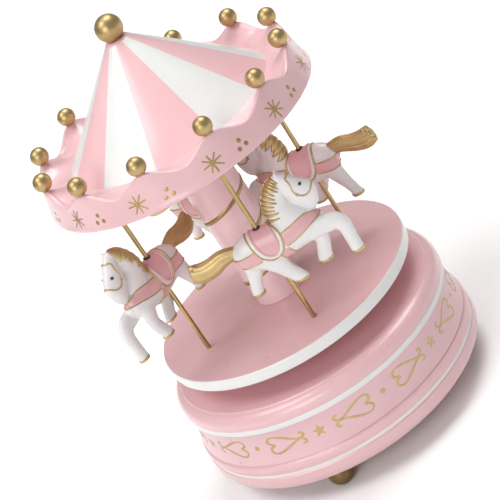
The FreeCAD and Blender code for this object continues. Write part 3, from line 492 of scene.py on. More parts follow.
def make_canopy():
    """The brim with its skirt, rounded lip and gutter, the roof, the rim balls and the finial."""
    a = np.linspace(0, TAU, 720, endpoint=False)
    crest = brim_crest(a)
    s = np.linspace(0, 1, 14)[:, None]
    skirt_r = skirt_radius(s) + 0 * a
    skirt_z = SKIRT_FOOT + (crest - LIP_RADIUS - SKIRT_FOOT) * s
    t = np.linspace(0.1, 0.85 * math.pi, 10)[:, None]
    lip_r = BRIM_EDGE_RADIUS - LIP_RADIUS + LIP_RADIUS * np.cos(t) + 0 * a
    lip_z = crest - LIP_RADIUS + LIP_RADIUS * np.sin(t)
    g = np.linspace(0, 1, 18)[1:, None]
    inner_r, inner_z = lip_r[-1], lip_z[-1]
    gutter_r = inner_r + (ROOF_FOOT_RADIUS - 1.0 - inner_r) * g
    gutter_z = ROOF_FOOT + (inner_z - ROOF_FOOT) * (1 - g) ** 1.6
    under = np.array([
        (38.0, 131.2), (49.2, 131.2), (49.2, SKIRT_BOTTOM + 0.25),
        (49.45, SKIRT_BOTTOM), (51.7, SKIRT_BOTTOM), (51.93, SKIRT_BOTTOM + 0.15),
    ])
    r = np.concatenate([skirt_r, lip_r, gutter_r, under[:, :1] + 0 * a])
    z = np.concatenate([skirt_z, lip_z, gutter_z, under[:, 1:] + 0 * a])
    ring = sheet(np.stack([r * np.cos(a), r * np.sin(a), z], -1), wrap_rows=True, wrap_columns=True)
    piece("canopy_brim_ring", ring, "brim", "carousel", ["canopy_brim"], sharp=60)

    cone = np.linspace((ROOF_FOOT_RADIUS, ROOF_FOOT), (ROOF_NECK_RADIUS, ROOF_TOP), 40)
    profile = np.concatenate([
        [(36.0, ROOF_FOOT - 1.5), (ROOF_FOOT_RADIUS - 0.6, ROOF_FOOT - 0.5)], cone,
        [(2.0, ROOF_TOP), (2.0, ROOF_TOP - 5.5), (8.0, ROOF_TOP - 7.0)],
    ])
    roof = lathe(profile, 240, closed=True)
    piece("canopy_roof_cone", roof, "roof", "carousel", ["canopy_roof"], sharp=50)

    angles = FIRST_BALL + 360.0 / BALL_COUNT * np.arange(BALL_COUNT)
    balls = merged([ball(polar(BALL_CIRCLE, a, BALL_CENTRE_Z), BALL_RADIUS, low=-0.93) for a in angles])
    piece("rim_balls", balls, "gilt", "carousel", ["brim_balls"])
    top = ball((0, 0, FINIAL_CENTRE_Z), FINIAL_RADIUS, low=-0.9, segments=64, rings=40)
    piece("finial_ball", top, "gilt", "carousel", ["finial"])


def flowing(stations, steps):
    """Rows of numbers joined by Catmull-Rom curves, with the given steps between stations."""
    p = np.array(stations, float)
    p = np.concatenate([2 * p[:1] - p[1:2], p, 2 * p[-1:] - p[-2:-1]])
    t = np.linspace(0, 1, steps, endpoint=False)[None, :, None]
    a, b, c, d = (p[k:len(p) - 3 + k, None, :] for k in range(4))
    bend, twist = 2 * a - 5 * b + 4 * c - d, 3 * b - a - 3 * c + d
    rows = 0.5 * (2 * b + (c - a) * t + bend * t ** 2 + twist * t ** 3)
    return np.concatenate([rows.reshape(-1, p.shape[1]), p[-2:-1]])


def unit(vectors):
    return vectors / np.maximum(np.linalg.norm(vectors, axis=-1, keepdims=True), 1e-9)


def stroke(path, normals, width, height, taper, loop=False, around=8):
    """A closed bead along a path, oval in section, its ends drawn to a point unless it loops."""
    count = len(path)
    if loop:
        tangent = np.roll(path, -1, 0) - np.roll(path, 1, 0)
        swell = np.ones(count)
    else:
        tangent = np.gradient(path, axis=0)
        s = np.linspace(0, 1, count)
        swell = np.sqrt(np.clip(np.minimum(s, 1 - s) / taper, 0, 1))
    tangent = unit(tangent)
    normals = unit(normals - tangent * (normals * tangent).sum(-1, keepdims=True))
    across = np.cross(tangent, normals)
    a = np.linspace(0, TAU, around, endpoint=False)[None, :, None]
    half = (np.broadcast_to(width, (count,)) * swell * 0.5)[:, None, None]
    rise = (np.broadcast_to(height, (count,)) * swell)[:, None, None]
    points = path[:, None] + across[:, None] * half * np.cos(a) + normals[:, None] * rise * np.sin(a)
    return sheet(points, wrap_rows=loop, wrap_columns=True)


def lens(outline, centre, wrap, height, rings=5):
    """A closed low dome over an outline of (u, v) offsets, laid on a surface by wrap(u, v, lift)."""
    s = np.sin(np.linspace(0, math.pi, 2 * rings + 1))[:, None]
    top = np.linspace(1, -1, 2 * rings + 1)[:, None]
    u = centre[0] + outline[:, 0] * s
    v = centre[1] + outline[:, 1] * s
    lift = height * np.where(top > 0, 1 - s ** 4, -(1 - s)) + 0 * u
    return sheet(wrap(u, v, lift), wrap_columns=True)


def star_outline(points, outer, inner):
    """A star with one point up, with four steps along each side."""
    a = math.pi / 2 + np.arange(2 * points) * math.pi / points
    r = np.where(np.arange(2 * points) % 2 == 0, outer, inner)
    corners = np.stack([r * np.cos(a), r * np.sin(a)], -1)
    t = np.linspace(0, 1, 4, endpoint=False)[None, :, None]
    return (corners[:, None] * (1 - t) + np.roll(corners, -1, 0)[:, None] * t).reshape(-1, 2)


def round_outline(radius, count=20):
    a = np.linspace(0, TAU, count, endpoint=False)
    return radius * np.stack([np.cos(a), np.sin(a)], -1)


BAND_ARC = arc(*BAND_OUTLINE, 24)
ORNAMENT_Z = 27.6
# One side of a heart, from its lobe to the scroll at its tail
HEART_HALF = [
    (4.3, 0.32), (5.6, 0.42), (6.7, 1.1), (6.9, 2.2), (6.1, 3.1), (4.6, 3.4), (2.6, 3.05), (0.0, 2.1),
    (-2.4, 1.0), (-4.4, 0.28), (-6.0, 0.3), (-7.1, 0.9), (-7.2, 1.75), (-6.4, 2.25), (-5.5, 1.95),
]
MOTIF_PERIOD, FIRST_STAR, MOTIF_COUNT, BACK_STAR = 55.0, 252.8, 6, 100.3
PRINT_RISE = 0.07
BURST_RAYS, BURST_REACH, BURST_Z = 8, 3.6, 130.3
DOTS, DOTS_AFTER_BURST = ((0.0, 131.0), (-1.45, 128.6), (1.5, 128.8)), 12.6
RIBBON_FACING, RIBBON_Z, RIBBON_PITCH = 258.0, 96.45, 13.7
RIBBON_WIDTH, RIBBON_RISE = 1.6, 0.28


def on_band(degrees):
    """Wraps flat millimetres (u round, v up, lift outwards) onto the strip, with u 0 at an azimuth."""
    def wrap(u, v, lift):
        z = ORNAMENT_Z + v
        r = np.interp(z, BAND_ARC[:, 1], BAND_ARC[:, 0])
        a = math.radians(degrees) + u / r
        return np.stack([(r + lift) * np.cos(a), (r + lift) * np.sin(a), z], -1)
    return wrap


def on_skirt(degrees):
    """The same for the flared skirt of the canopy."""
    def wrap(u, v, lift):
        a = math.radians(degrees) + u / SKIRT_MIDDLE_RADIUS
        share = np.clip((v - SKIRT_FOOT) / (brim_crest(a) - LIP_RADIUS - SKIRT_FOOT), 0, 1)
        r = skirt_radius(share) + lift
        return np.stack([r * np.cos(a), r * np.sin(a), v + 0 * a], -1)
    return wrap


def outward(points):
    """Horizontal directions away from the axis."""
    return unit(points * np.array([1.0, 1.0, 0.0]))


def line_on(wrap, path, width, taper):
    """A printed line along a path of (u, v)."""
    points = wrap(path[:, 0], path[:, 1], 0 * path[:, 0])
    return stroke(points, outward(points), width, PRINT_RISE, taper)


def blot_on(wrap, outline, place=(0.0, 0.0)):
    """A printed star or dot."""
    return lens(outline, place, wrap, PRINT_RISE)


def make_base_ornament():
    """Hearts in pairs, lobes to a dot and scrolled tails to a star, repeated round the strip."""
    half = flowing(HEART_HALF, 6)
    places = FIRST_STAR + MOTIF_PERIOD * (np.arange(MOTIF_COUNT) - 2)
    pen = 0.74 + 0.34 * np.sin(np.linspace(0, 3 * math.pi, len(half))) ** 2
    shapes = [blot_on(on_band(star), star_outline(5, 2.6, 1.15)) for star in (*places, BACK_STAR)]
    for dot in FIRST_STAR + MOTIF_PERIOD * (np.arange(MOTIF_COUNT + 1) - 2.5):
        shapes.append(blot_on(on_band(dot), round_outline(1.0)))
    for star in places:
        for place, lobes in ((star + 14.4, 1.0), (star - 14.0, -1.0)):
            for side in (1.0, -1.0):
                shapes.append(line_on(on_band(place), half * np.array([lobes, side]), pen, 0.05))
    piece("base_ornament", merged(shapes), "print", "base", sharp=60)


def make_skirt_ornament():
    """A starburst and three dots in each field of the skirt, set out by eye and so unevenly."""
    shapes = []
    t = np.linspace(0.0, 1.0, 12)
    for k in range(BALL_COUNT):
        middle = 360.0 / BALL_COUNT * k + 4.2
        middle += 3.8 * math.sin(math.radians(middle - 272.0))
        for ray in range(BURST_RAYS):
            a = math.radians(360.0 / BURST_RAYS * ray + 4.0 * math.sin(2.4 * ray + 1.7 * k) + 7.0)
            reach = BURST_REACH + 0.35 * math.sin(1.9 * ray + 0.8 * k)
            path = np.stack([t * reach * math.cos(a), BURST_Z + t * reach * math.sin(a)], -1)
            shapes.append(line_on(on_skirt(middle), path, 0.78 - 0.14 * t, 0.08))
        for place in DOTS:
            shapes.append(blot_on(on_skirt(middle + DOTS_AFTER_BURST), round_outline(0.8, 16), place))
    piece("skirt_ornament", merged(shapes), "burst", "carousel", sharp=60)


def make_column_ribbon():
    """A gold bead wound up the column, its rise a little uneven."""
    turns = np.linspace(-2.75, 2.1, 560)
    a = np.radians(RIBBON_FACING) + turns * TAU
    z = RIBBON_Z + RIBBON_PITCH * turns + 0.9 * np.sin(turns * TAU)
    path = np.stack([COLUMN_RADIUS * np.cos(a), COLUMN_RADIUS * np.sin(a), z], -1)
    ribbon = stroke(path, outward(path), RIBBON_WIDTH, RIBBON_RISE, taper=0.01)
    piece("column_ribbon", ribbon, "burst", "carousel", sharp=60)


# Horses. A limb is stations of (forward, up, half depth in the side view, half width), and a leg has
# its distance to one side before them. Heights are above the deck before the horse's own lift, and the
# pole is at forward 0.
TORSO = [(-12.0, 31.8, 1.8, 1.5), (-10.6, 31.9, 4.4, 3.4), (-7.6, 31.5, 6.5, 4.2),
         (-3.0, 31.0, 7.0, 4.5), (3.0, 30.7, 7.0, 4.6), (9.0, 31.0, 6.5, 4.7),
         (15.0, 31.2, 5.9, 4.4), (19.0, 31.6, 4.2, 3.2), (20.9, 31.8, 1.7, 1.4)]
NECK = [(12.0, 35.0, 6.4, 4.1), (10.0, 40.6, 5.2, 3.6), (10.3, 44.6, 4.2, 3.1), (12.6, 48.6, 3.4, 2.5),
        (14.6, 51.0, 1.9, 1.5)]
HEAD = [(14.8, 52.0, 1.5, 1.2), (15.9, 49.6, 2.6, 2.2), (17.9, 45.9, 3.8, 2.8), (19.8, 42.1, 5.0, 2.8),
        (20.4, 38.8, 3.6, 2.5), (20.2, 36.4, 2.3, 2.0), (20.1, 35.2, 1.1, 1.0)]
TAIL = [(-9.0, 34.0, 1.9, 1.4), (-12.0, 34.3, 2.6, 1.6), (-15.5, 34.4, 3.2, 1.8),
        (-20.0, 33.3, 3.6, 2.0), (-24.0, 33.1, 3.9, 2.0), (-27.4, 34.3, 3.6, 1.6)]
LEGS = {
    "fore_reaching": (-2.2, [(14.6, 29.6, 4.0, 1.7), (20.4, 28.9, 3.4, 2.0), (24.4, 28.3, 3.3, 2.0),
                             (26.2, 25.0, 2.6, 1.9), (26.1, 20.0, 2.3, 1.75), (26.0, 14.8, 2.35, 1.9)]),
    "fore_folded": (2.2, [(15.4, 29.0, 4.0, 1.9), (16.7, 23.2, 2.6, 1.9), (15.6, 19.4, 2.5, 1.75),
                          (14.4, 16.4, 2.6, 1.85), (14.2, 14.8, 2.7, 1.9)]),
    "hind_reaching": (-2.3, [(-3.2, 29.4, 4.8, 2.0), (0.2, 24.0, 3.5, 2.0), (1.8, 20.4, 2.8, 1.8),
                             (3.9, 16.8, 2.6, 1.8), (4.6, 14.8, 2.7, 1.9)]),
    "hind_trailing": (2.3, [(-7.4, 30.0, 4.4, 2.0), (-9.2, 24.0, 3.1, 1.9), (-10.9, 19.6, 2.3, 1.7),
                            (-11.9, 16.4, 2.2, 1.75), (-12.1, 14.8, 2.4, 1.9)]),
}
SOLE_Z, SOLE_HEIGHT, SOLE_PROUD = 14.8, 1.0, 0.08
EAR, EAR_SIDE = [(15.0, 50.6, 1.15, 0.85), (15.2, 52.2, 0.85, 0.6), (15.5, 53.6, 0.15, 0.15)], 1.3
VOXEL, SOFTENING = 0.30, 4
DOME_RINGS = 5
BOTH_SIDES = (-1.0, 1.0)


def limb(stations, side=0.0, around=28, steps=8, floor=None):
    """A swelling tube: ovals square to the centre line, closed by domes, and cut flat at a floor."""
    rows = flowing(stations, steps)
    centre, depth, width = rows[:, :2], rows[:, 2], rows[:, 3]
    tangent = unit(np.gradient(centre, axis=0))
    u = np.linspace(0, 1, DOME_RINGS + 1)[1:]
    dome = np.sqrt(1 - u * u)
    reach = 0.6 * np.minimum(depth, width)
    head = centre[:1] - tangent[:1] * (u[::-1, None] * reach[0])
    tail = centre[-1:] + tangent[-1:] * (u[:, None] * reach[-1])
    grow = np.concatenate([dome[::-1], np.ones(len(rows)), dome])
    centre = np.concatenate([head, centre, tail])
    depth, width = (np.pad(d, DOME_RINGS, "edge") * grow for d in (depth, width))
    tangent = np.pad(tangent, ((DOME_RINGS, DOME_RINGS), (0, 0)), "edge")
    a = np.linspace(0, TAU, around, endpoint=False)
    out = depth[:, None] * np.cos(a)
    x = centre[:, :1] - tangent[:, 1:] * out
    z = centre[:, 1:] + tangent[:, :1] * out
    if floor is not None:
        z = np.maximum(z, floor)
    y = side + width[:, None] * np.sin(a)
    return sheet(np.stack([x, y, z], -1), wrap_columns=True)


def leg(side, stations):
    """A leg carried on below its sole and cut flat there."""
    x, z, depth, width = stations[-1]
    return limb([*stations, (x, z - 2.6, depth, width)], side, floor=SOLE_Z)


def moulded(shape):
    """One skin round overlapping closed shapes, each point then drawn to its neighbours' mean."""
    points, quads = shape
    mesh = bpy.data.meshes.new("mould")
    mesh.from_pydata((points * MM).tolist(), [], quads.tolist())
    b = bmesh.new()
    b.from_mesh(mesh)
    bmesh.ops.remove_doubles(b, verts=b.verts, dist=WELD)
    bmesh.ops.recalc_face_normals(b, faces=b.faces)
    b.to_mesh(mesh)
    b.free()
    obj = bpy.data.objects.new("mould", mesh)
    bpy.context.scene.collection.objects.link(obj)
    remesh = obj.modifiers.new("skin", "REMESH")
    remesh.mode, remesh.voxel_size, remesh.adaptivity = "VOXEL", VOXEL * MM, 0.0
    skin = bpy.data.meshes.new_from_object(obj.evaluated_get(bpy.context.evaluated_depsgraph_get()))
    co = np.empty(len(skin.vertices) * 3, np.float32)
    skin.vertices.foreach_get("co", co)
    co = co.reshape(-1, 3).astype(float) / MM
    faces = np.empty(len(skin.polygons) * 4, np.int32)
    skin.loops.foreach_get("vertex_index", faces)
    edges = np.empty(len(skin.edges) * 2, np.int32)
    skin.edges.foreach_get("vertices", edges)
    edges = edges.reshape(-1, 2)
    degree = np.bincount(edges.ravel(), minlength=len(co))[:, None]
    for _ in range(SOFTENING):
        total = np.zeros_like(co)
        np.add.at(total, edges[:, 0], co[edges[:, 1]])
        np.add.at(total, edges[:, 1], co[edges[:, 0]])
        co += 0.5 * (total / degree - co)
    bpy.data.objects.remove(obj)
    bpy.data.meshes.remove(mesh)
    bpy.data.meshes.remove(skin)
    return co, faces.reshape(-1, 4)


# How far out of the figure a ray starts: short where other parts stand close by
FROM_NEAR, FROM_BESIDE, FROM_AFAR = 3.0, 7.5, 12.0
RAY_LENGTH = 30.0


def laid_on(skin, points, directions, lift, drop):
    """Points dropped inwards onto the figure's skin and raised by lift, and the normals there."""
    flat, ways = points.reshape(-1, 3), np.broadcast_to(directions, points.shape).reshape(-1, 3)
    landed, normals = flat.copy(), ways.copy()
    for k, (p, way) in enumerate(zip(flat, ways)):
        hit, normal, _, _ = skin.ray_cast(Vector(p + way * drop), Vector(-way), RAY_LENGTH)
        if hit is not None:
            landed[k], normals[k] = hit, normal
    lift = np.broadcast_to(lift, points.shape[:-1]).reshape(-1, 1)
    return (landed + normals * lift).reshape(points.shape), normals.reshape(points.shape)


SUNK = 0.3


def cloth(skin, points, directions, lift, drop):
    """A closed strip over the skin: an upper and a sunken grid, meeting at the first and last rows."""
    top, _ = laid_on(skin, points, directions, lift, drop)
    under, _ = laid_on(skin, points, directions, -SUNK, drop)
    loop = np.concatenate([top, under[:, ::-1]], 1)
    ends = [np.concatenate([m, m[::-1]])[None] for m in ((top[k] + under[k]) / 2 for k in (0, -1))]
    return sheet(np.concatenate([ends[0], loop, ends[1]]), wrap_columns=True)


def bead(skin, points, directions, width, height, drop, loop=False, lift=0.02, taper=0.03):
    """A raised line over the skin."""
    path, normals = laid_on(skin, points, directions, lift, drop)
    return stroke(path, normals, width, height, taper, loop)


def around_torso(x, angle):
    """Points on the torso's ovals by angle from the top, and the directions out of them."""
    rows = flowing(TORSO, 8)
    z, depth, width = (np.interp(x, rows[:, 0], rows[:, k]) for k in (1, 2, 3))
    way = np.stack([0 * x, np.sin(angle), np.cos(angle)], -1)
    return np.stack([x, width * np.sin(angle), z + depth * np.cos(angle)], -1), way


# Half length in mm, and how far round from the top the flap reaches in degrees
CLOTH_FLAP, SEAT_FLAP = (5.9, 122.0), (4.2, 106.0)
SADDLE_MIDDLE = 1.1
CLOTH_LIFT, SEAT_LIFT, STRAP_LIFT = 0.35, 0.62, 0.2
# Width and height of the raised lines
CLOTH_EDGING, SEAT_ROLL, PIPING = (0.8, 0.6), (0.9, 0.45), (0.55, 0.42)
HEAD_BAND, CHEEK_BAND = (0.6, 0.34), (0.55, 0.34)


def flap(reach, limit, angle, across):
    """Saddle points: across runs from -1 behind to 1 in front, angle is from the top.
    The half length closes in a round end at the limit, and the front is drawn back at the top."""
    half = reach * np.sqrt(np.clip(1 - np.abs(angle / math.radians(limit)) ** 3.4, 0, 1))
    front = 1 - 0.42 * np.exp(-(angle / 0.75) ** 2) * (across > 0)
    x = SADDLE_MIDDLE + half * across * front
    return around_torso(x, angle + 0 * x)


def flap_grid(reach, limit, rows=48, columns=15):
    """Points all over a flap, closer together at its ends."""
    angle = math.radians(limit) * np.sin(np.linspace(-1, 1, rows) * math.pi / 2)[:, None]
    return flap(reach, limit, angle, np.linspace(-1, 1, columns))


def flap_edge(reach, limit, count=70):
    """Points round the edge of a flap."""
    angle = math.radians(limit) * np.sin(np.linspace(-1, 1, count) * math.pi / 2)
    angle = np.concatenate([angle, angle[::-1][1:-1]])
    return flap(reach, limit, angle, np.concatenate([np.ones(count), -np.ones(count - 2)]))


# Straps run from a flank to the middle of the body and back on the other side. A station is
# (forward, turn, up), where turn is the way the strap faces: 0 sideways, 90 forwards, -90 backwards.
CHEST_UPPER = [(5.6, 0, 34.0), (8.6, 0, 34.5), (11.0, 0, 35.0), (12.6, 18, 35.8), (13.6, 45, 36.0),
               (13.9, 72, 35.0), (14.0, 90, 34.4)]
CHEST_LOWER = [(6.4, 0, 29.2), (9.2, 0, 29.8), (11.6, 0, 30.4), (13.4, 18, 31.4), (14.4, 45, 32.4),
               (14.6, 72, 32.8), (14.6, 90, 33.0)]
RUMP_UPPER = [(-3.6, 0, 32.6), (-5.6, 0, 32.4), (-7.2, -10, 32.2), (-7.6, -45, 32.1), (-7.6, -90, 32.0)]
RUMP_LOWER = [(-3.2, 0, 28.4), (-5.4, 0, 28.2), (-7.2, -10, 28.1), (-7.6, -45, 28.1), (-7.6, -90, 28.1)]
NOSEBAND = [(18.3, 0, 43.3), (19.6, 0, 42.2), (21.0, 0, 41.8), (21.6, 25, 42.3), (21.4, 55, 43.4),
            (21.2, 90, 44.3)]
BROWBAND = [(17.4, 0, 49.9), (17.0, 25, 50.1), (16.6, 55, 50.3), (16.4, 90, 50.4)]
CHEEK_STRAP = [(17.4, 49.9), (17.9, 47.6), (17.7, 45.0), (18.3, 43.3)]
EYE = (20.9, 46.1)


def strap_line(stations):
    """A strap's edge from flank to flank, with the directions that it faces."""
    half = flowing(stations, 8)
    rows = np.concatenate([half, half[-2::-1]])
    side = np.concatenate([np.ones(len(half)), -np.ones(len(half) - 1)])
    turn = np.radians(rows[:, 1])
    points = np.stack([rows[:, 0], 0 * turn, rows[:, 2]], -1)
    return points, np.stack([np.sin(turn), side * np.cos(turn), 0 * turn], -1)


def band_between(lower, upper, rows=8):
    """A grid of points between two lines with the same count of points."""
    (p, way), (q, other) = lower, upper
    t = np.linspace(0, 1, rows)[None, :, None]
    return p[:, None] * (1 - t) + q[:, None] * t, unit(way[:, None] * (1 - t) + other[:, None] * t)


def girth_line(top, bottom, count=41):
    """A line under the belly from flap to flap, moving forward from top to bottom."""
    angle = np.linspace(math.radians(110), math.radians(250), count)
    return around_torso(bottom + (top - bottom) * np.abs(angle / math.pi - 1) * 180 / 70, angle)


def side_line(stations, side):
    """A line drawn in the side view, seen from one side."""
    rows = flowing(stations, 8)
    return np.stack([rows[:, 0], 0 * rows[:, 0], rows[:, 1]], -1), np.array([0.0, side, 0.0])


def spot(skin, place, side, outline, height, lift=0.0):
    """A low dome on one side of the head."""
    def wrap(u, v, rise):
        flat = np.stack([place[0] + u, 0 * u, place[1] + v], -1)
        landed, normals = laid_on(skin, flat, np.array([0.0, side, 0.0]), lift, FROM_AFAR)
        return landed + normals * rise[..., None]
    return lens(outline, (0.0, 0.0), wrap, height, rings=3)


def around_neck(share, angle):
    """Points on the neck's ovals by share of its length and angle from the crest, and the ways out."""
    rows = flowing(NECK, 12)
    s = np.linspace(0, 1, len(rows))
    slope = np.gradient(rows[:, :2], axis=0)
    x, z, depth, width = (np.interp(share, s, rows[:, k]) for k in range(4))
    along = unit(np.stack([np.interp(share, s, slope[:, k]) for k in (0, 1)], -1))
    cos, sin = np.cos(angle), np.sin(angle)
    way = np.stack([-along[:, 1] * cos, sin, along[:, 0] * cos], -1)
    points = np.stack([x - along[:, 1] * depth * cos, width * sin, z + along[:, 0] * depth * cos], -1)
    return points, way


MASS_LOCKS, LINE_LOCKS = 8, 11


def mane_locks(skin):
    """The mane: broad overlapping locks with pointed ends on the left, thin ones on the right."""
    shapes = []
    t = np.linspace(0, 1, 30)
    for k in range(MASS_LOCKS):
        crest = 0.27 + 0.70 * k / (MASS_LOCKS - 1)
        reach = math.radians(62 + 48 * min(1.0, 1.6 * crest - 0.3) + 9 * math.sin(2.3 * k))
        path = around_neck(crest + 0.02 - (0.10 + 0.08 * crest) * t ** 1.4, -0.25 + (reach + 0.25) * t)
        broad = 3.1 * np.clip(np.sin(math.pi * (0.28 + 0.72 * t)), 0, 1) ** 0.8 + 0.15
        shapes.append(bead(skin, *path, broad, 0.75, FROM_NEAR, lift=-0.05, taper=0.05))
    for k in range(LINE_LOCKS):
        crest = 0.24 + 0.73 * k / (LINE_LOCKS - 1)
        reach = math.radians(76 + 34 * min(1.0, 1.5 * crest - 0.25) + 8 * math.sin(1.9 * k))
        path = around_neck(crest - 0.045 * t ** 1.3, -0.05 - reach * t)
        fine = 1.5 * np.clip(np.sin(math.pi * (0.38 + 0.62 * t)), 0, 1) ** 0.7 + 0.12
        shapes.append(bead(skin, *path, fine, 0.5, FROM_NEAR, lift=-0.05, taper=0.06))
    return shapes


STRANDS = 9


def tail_strands():
    """The tail: overlapping strands beside each other, of uneven length, ending in a blunt brush."""
    rows = np.array(TAIL)
    tangent = unit(np.gradient(rows[:, :2], axis=0))
    shapes = []
    for k in range(STRANDS):
        a = TAU * k / STRANDS + 0.35
        off = 0.56 * rows[:, 2] * math.cos(a)
        stations = np.stack([rows[:, 0] - tangent[:, 1] * off, rows[:, 1] + tangent[:, 0] * off,
                             0.46 * rows[:, 2], 0.56 * rows[:, 3]], -1)
        stations[-1, 0] += 0.3 + 0.7 * math.sin(2.7 * k)
        shapes.append(limb(stations, 0.95 * math.sin(a), around=16, steps=6))
    return shapes


def soles():
    """The gilt sole round the foot of each leg: an oval drum, a little proud of the hoof."""
    heights = np.array([-0.06, -0.06, 0.04, 0.82, 0.95, 0.95]) * SOLE_HEIGHT
    scale = np.array([0.0, 0.96, 1.0, 1.0, 0.97, 0.0])[:, None]
    a = np.linspace(0, TAU, 32, endpoint=False)
    shapes = []
    for side, stations in LEGS.values():
        (x0, z0, _, _), (x1, z1, depth, width) = stations[-2:]
        lean = (x1 - x0) / (z1 - z0)
        x = x1 + lean * heights[:, None] + scale * (depth + SOLE_PROUD) * np.cos(a)
        y = side + scale * (width + SOLE_PROUD) * np.sin(a)
        shapes.append(sheet(np.stack([x, y, SOLE_Z + heights[:, None] + 0 * x], -1), wrap_columns=True))
    return shapes


def standing(shape, where):
    """A shape of the horse's own frame, turned to its heading and set on its pole."""
    points, quads = shape
    a = math.radians(HORSE_HEADINGS[where])
    turn = np.array([[math.cos(a), math.sin(a), 0], [-math.sin(a), math.cos(a), 0], [0, 0, 1]])
    return points @ turn + polar(POLE_CIRCLE, POLE_ANGLES[where], DECK_TOP + HORSE_LIFTS[where]), quads


def make_horses():
    """One figure with its harness, set on each of the poles."""
    limbs = [limb(TORSO), limb(NECK), limb(HEAD)]
    limbs += [leg(side, stations) for side, stations in LEGS.values()]
    limbs += [limb(EAR, EAR_SIDE * side) for side in BOTH_SIDES]
    figure = moulded(merged(limbs))
    skin = BVHTree.FromPolygons(figure[0].tolist(), figure[1].tolist())

    border = cloth(skin, *flap_grid(*CLOTH_FLAP), CLOTH_LIFT, FROM_NEAR)
    seat = cloth(skin, *flap_grid(*SEAT_FLAP), SEAT_LIFT, FROM_NEAR)
    chest = strap_line(CHEST_LOWER), strap_line(CHEST_UPPER)
    rump = strap_line(RUMP_LOWER), strap_line(RUMP_UPPER)
    girth = girth_line(2.6, 5.2), girth_line(6.6, 8.8)
    belts = (chest, FROM_BESIDE), (rump, FROM_BESIDE), (girth, FROM_NEAR)
    straps = [cloth(skin, *band_between(*edges), STRAP_LIFT, drop) for edges, drop in belts]
    straps.append(bead(skin, *flap_edge(*SEAT_FLAP), *SEAT_ROLL, FROM_NEAR, loop=True, lift=0.5))
    lines = [bead(skin, *flap_edge(*CLOTH_FLAP), *CLOTH_EDGING, FROM_NEAR, loop=True)]
    lines += [bead(skin, *edge, *PIPING, drop) for edges, drop in belts for edge in edges]
    lines += [bead(skin, *strap_line(line), *HEAD_BAND, FROM_BESIDE) for line in (NOSEBAND, BROWBAND)]
    lines += [bead(skin, *side_line(CHEEK_STRAP, side), *CHEEK_BAND, FROM_BESIDE) for side in BOTH_SIDES]
    lines += [spot(skin, CHEEK_STRAP[-1], side, round_outline(0.62, 16), 0.55) for side in BOTH_SIDES]
    gilded = lines + mane_locks(skin) + tail_strands() + soles()
    lid = round_outline(0.85) * np.array([1.2, 0.8])
    lids = [spot(skin, EYE, side, lid, 0.10) for side in BOTH_SIDES]
    eyes_and_hole_shadows = [spot(skin, EYE, side, round_outline(0.5), 0.32, lift=0.08) for side in BOTH_SIDES]
    # A black disc round the pole at the top of the saddle: painted shadow of the hole that the pole goes
    # through
    pole_hole_shadow = eased([(0.0, 37.9), (1.4, 37.9), (1.4, 38.75), (0.0, 38.75)], 0.15)
    eyes_and_hole_shadows.append(lathe(pole_hole_shadow, 24))

    for where in POLE_ANGLES:
        body = f"horse_{where}"
        for name, shapes, paint, nodes in (
            ("figure", [figure], "horse", [body]), ("saddle", [seat, *straps], "tack", []),
            ("cloth", [border], "horse", []), ("gilding", gilded, "mane", []),
            ("lids", lids, "lid", []), ("eyes_and_hole_shadows", eyes_and_hole_shadows, "eye", []),
        ):
            shape = standing(merged(shapes), where)
            piece(f"{body}_{name}", shape, paint, body, nodes, sharp=65)


make_base()
make_base_ornament()
make_carousel()
make_column_ribbon()
make_canopy()
make_skirt_ornament()
make_horses()

# The solids inside, which no piece replaces, show in their own materials
for part in frame["record"]["subparts"]:
    node = frame["nodes"][part["node"]]
    material = INNER.get(part["material_slot"])
    if material:
        node.data.materials.clear()
        node.data.materials.append(material)


# Floor, light and camera

FLOOR_REACH, FLOOR_SHADE, FLOOR_SHOWN = 3.0, 0.80, 0.27
WORLD_STRENGTH = 0.28
AIM = Vector((0, 0, 0.085))
# Azimuth and elevation in degrees, distance and width in metres, power in watts
LAMPS = {
    "key": (190, 62, 2.0, 1.1, 16.0),
    "front": (236, 22, 2.2, 1.3, 18.5),
    "back": (40, 64, 2.0, 1.2, 22.0),
}
# Yaw, pitch and roll in degrees, place in metres, focal length and sensor width in millimetres
CAMERA_TURN, CAMERA_PLACE = (-0.16, 24.28, 33.6), (0, -0.6166, 0.3531)
CAMERA_LENS, CAMERA_SENSOR = 137.44, 36.0


def background_ray(start):
    """1 for a ray that shows the background: from the camera, in a reflection or through glass."""
    node = start.add("ShaderNodeLightPath").socket.node
    camera, glossy, through = (Signal(start.tree, node.outputs[f"Is {kind} Ray"])
                               for kind in ("Camera", "Glossy", "Transmission"))
    return camera + glossy + through


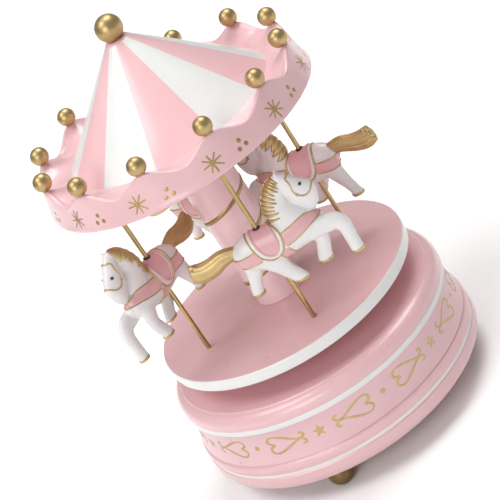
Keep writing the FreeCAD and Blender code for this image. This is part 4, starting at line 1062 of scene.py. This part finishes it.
def make_floor():
    """White paper that carries the shadow, lighter where the background shows it."""
    mesh = bpy.data.meshes.new("floor")
    r = FLOOR_REACH
    mesh.from_pydata([(-r, -r, 0), (r, -r, 0), (r, r, 0), (-r, r, 0)], [], [(0, 1, 2, 3)])
    material = bpy.data.materials.new("floor_paper")
    material.use_nodes = True
    tree = material.node_tree
    start = Signal(tree)
    shade = FLOOR_SHADE + background_ray(start) * FLOOR_SHOWN
    matte = start.add("ShaderNodeBsdfDiffuse", inputs={"Color": shade})
    tree.links.new(matte.socket, tree.nodes["Material Output"].inputs["Surface"])
    tree.nodes.remove(tree.nodes["Principled BSDF"])
    mesh.materials.append(material)
    floor = bpy.data.objects.new("floor", mesh)
    bpy.context.scene.collection.objects.link(floor)


def make_world():
    """Even white light from all round."""
    world = bpy.data.worlds.new("studio")
    world.use_nodes = True
    backdrop = world.node_tree.nodes["Background"]
    backdrop.inputs["Color"].default_value = rgb(1, 1, 1)
    backdrop.inputs["Strength"].default_value = WORLD_STRENGTH
    bpy.context.scene.world = world


def lamp(name, azimuth, elevation, distance, size, power):
    """A round softbox aimed at the middle of the object."""
    light = bpy.data.lights.new(name, "AREA")
    light.shape, light.size, light.energy = "DISK", size, power
    e, a = math.radians(elevation), math.radians(azimuth)
    place = AIM + distance * Vector((math.cos(e) * math.cos(a), math.cos(e) * math.sin(a), math.sin(e)))
    obj = bpy.data.objects.new(name, light)
    obj.location = place
    obj.rotation_euler = (AIM - place).to_track_quat("-Z", "Y").to_euler()
    bpy.context.scene.collection.objects.link(obj)


def make_camera():
    """A long lens in front of the part, rolled so that the part leans in the picture."""
    yaw, pitch, roll = (math.radians(d) for d in CAMERA_TURN)
    ahead = Vector((math.sin(yaw) * math.cos(pitch), math.cos(yaw) * math.cos(pitch), -math.sin(pitch)))
    right = Vector((math.cos(yaw), -math.sin(yaw), 0))
    down = ahead.cross(right)
    across = math.cos(roll) * right + math.sin(roll) * down
    upright = -(-math.sin(roll) * right + math.cos(roll) * down)
    data = bpy.data.cameras.new("camera")
    data.sensor_width, data.lens, data.clip_start = CAMERA_SENSOR, CAMERA_LENS, 0.01
    obj = bpy.data.objects.new("camera", data)
    turn = Matrix((across, upright, -ahead)).transposed().to_4x4()
    obj.matrix_world = Matrix.Translation(CAMERA_PLACE) @ turn
    bpy.context.scene.collection.objects.link(obj)
    bpy.context.scene.camera = obj


make_floor()
for name, setting in LAMPS.items():
    lamp(name, *setting)
make_camera()
make_world()
bpy.context.scene.view_settings.view_transform = "Standard"
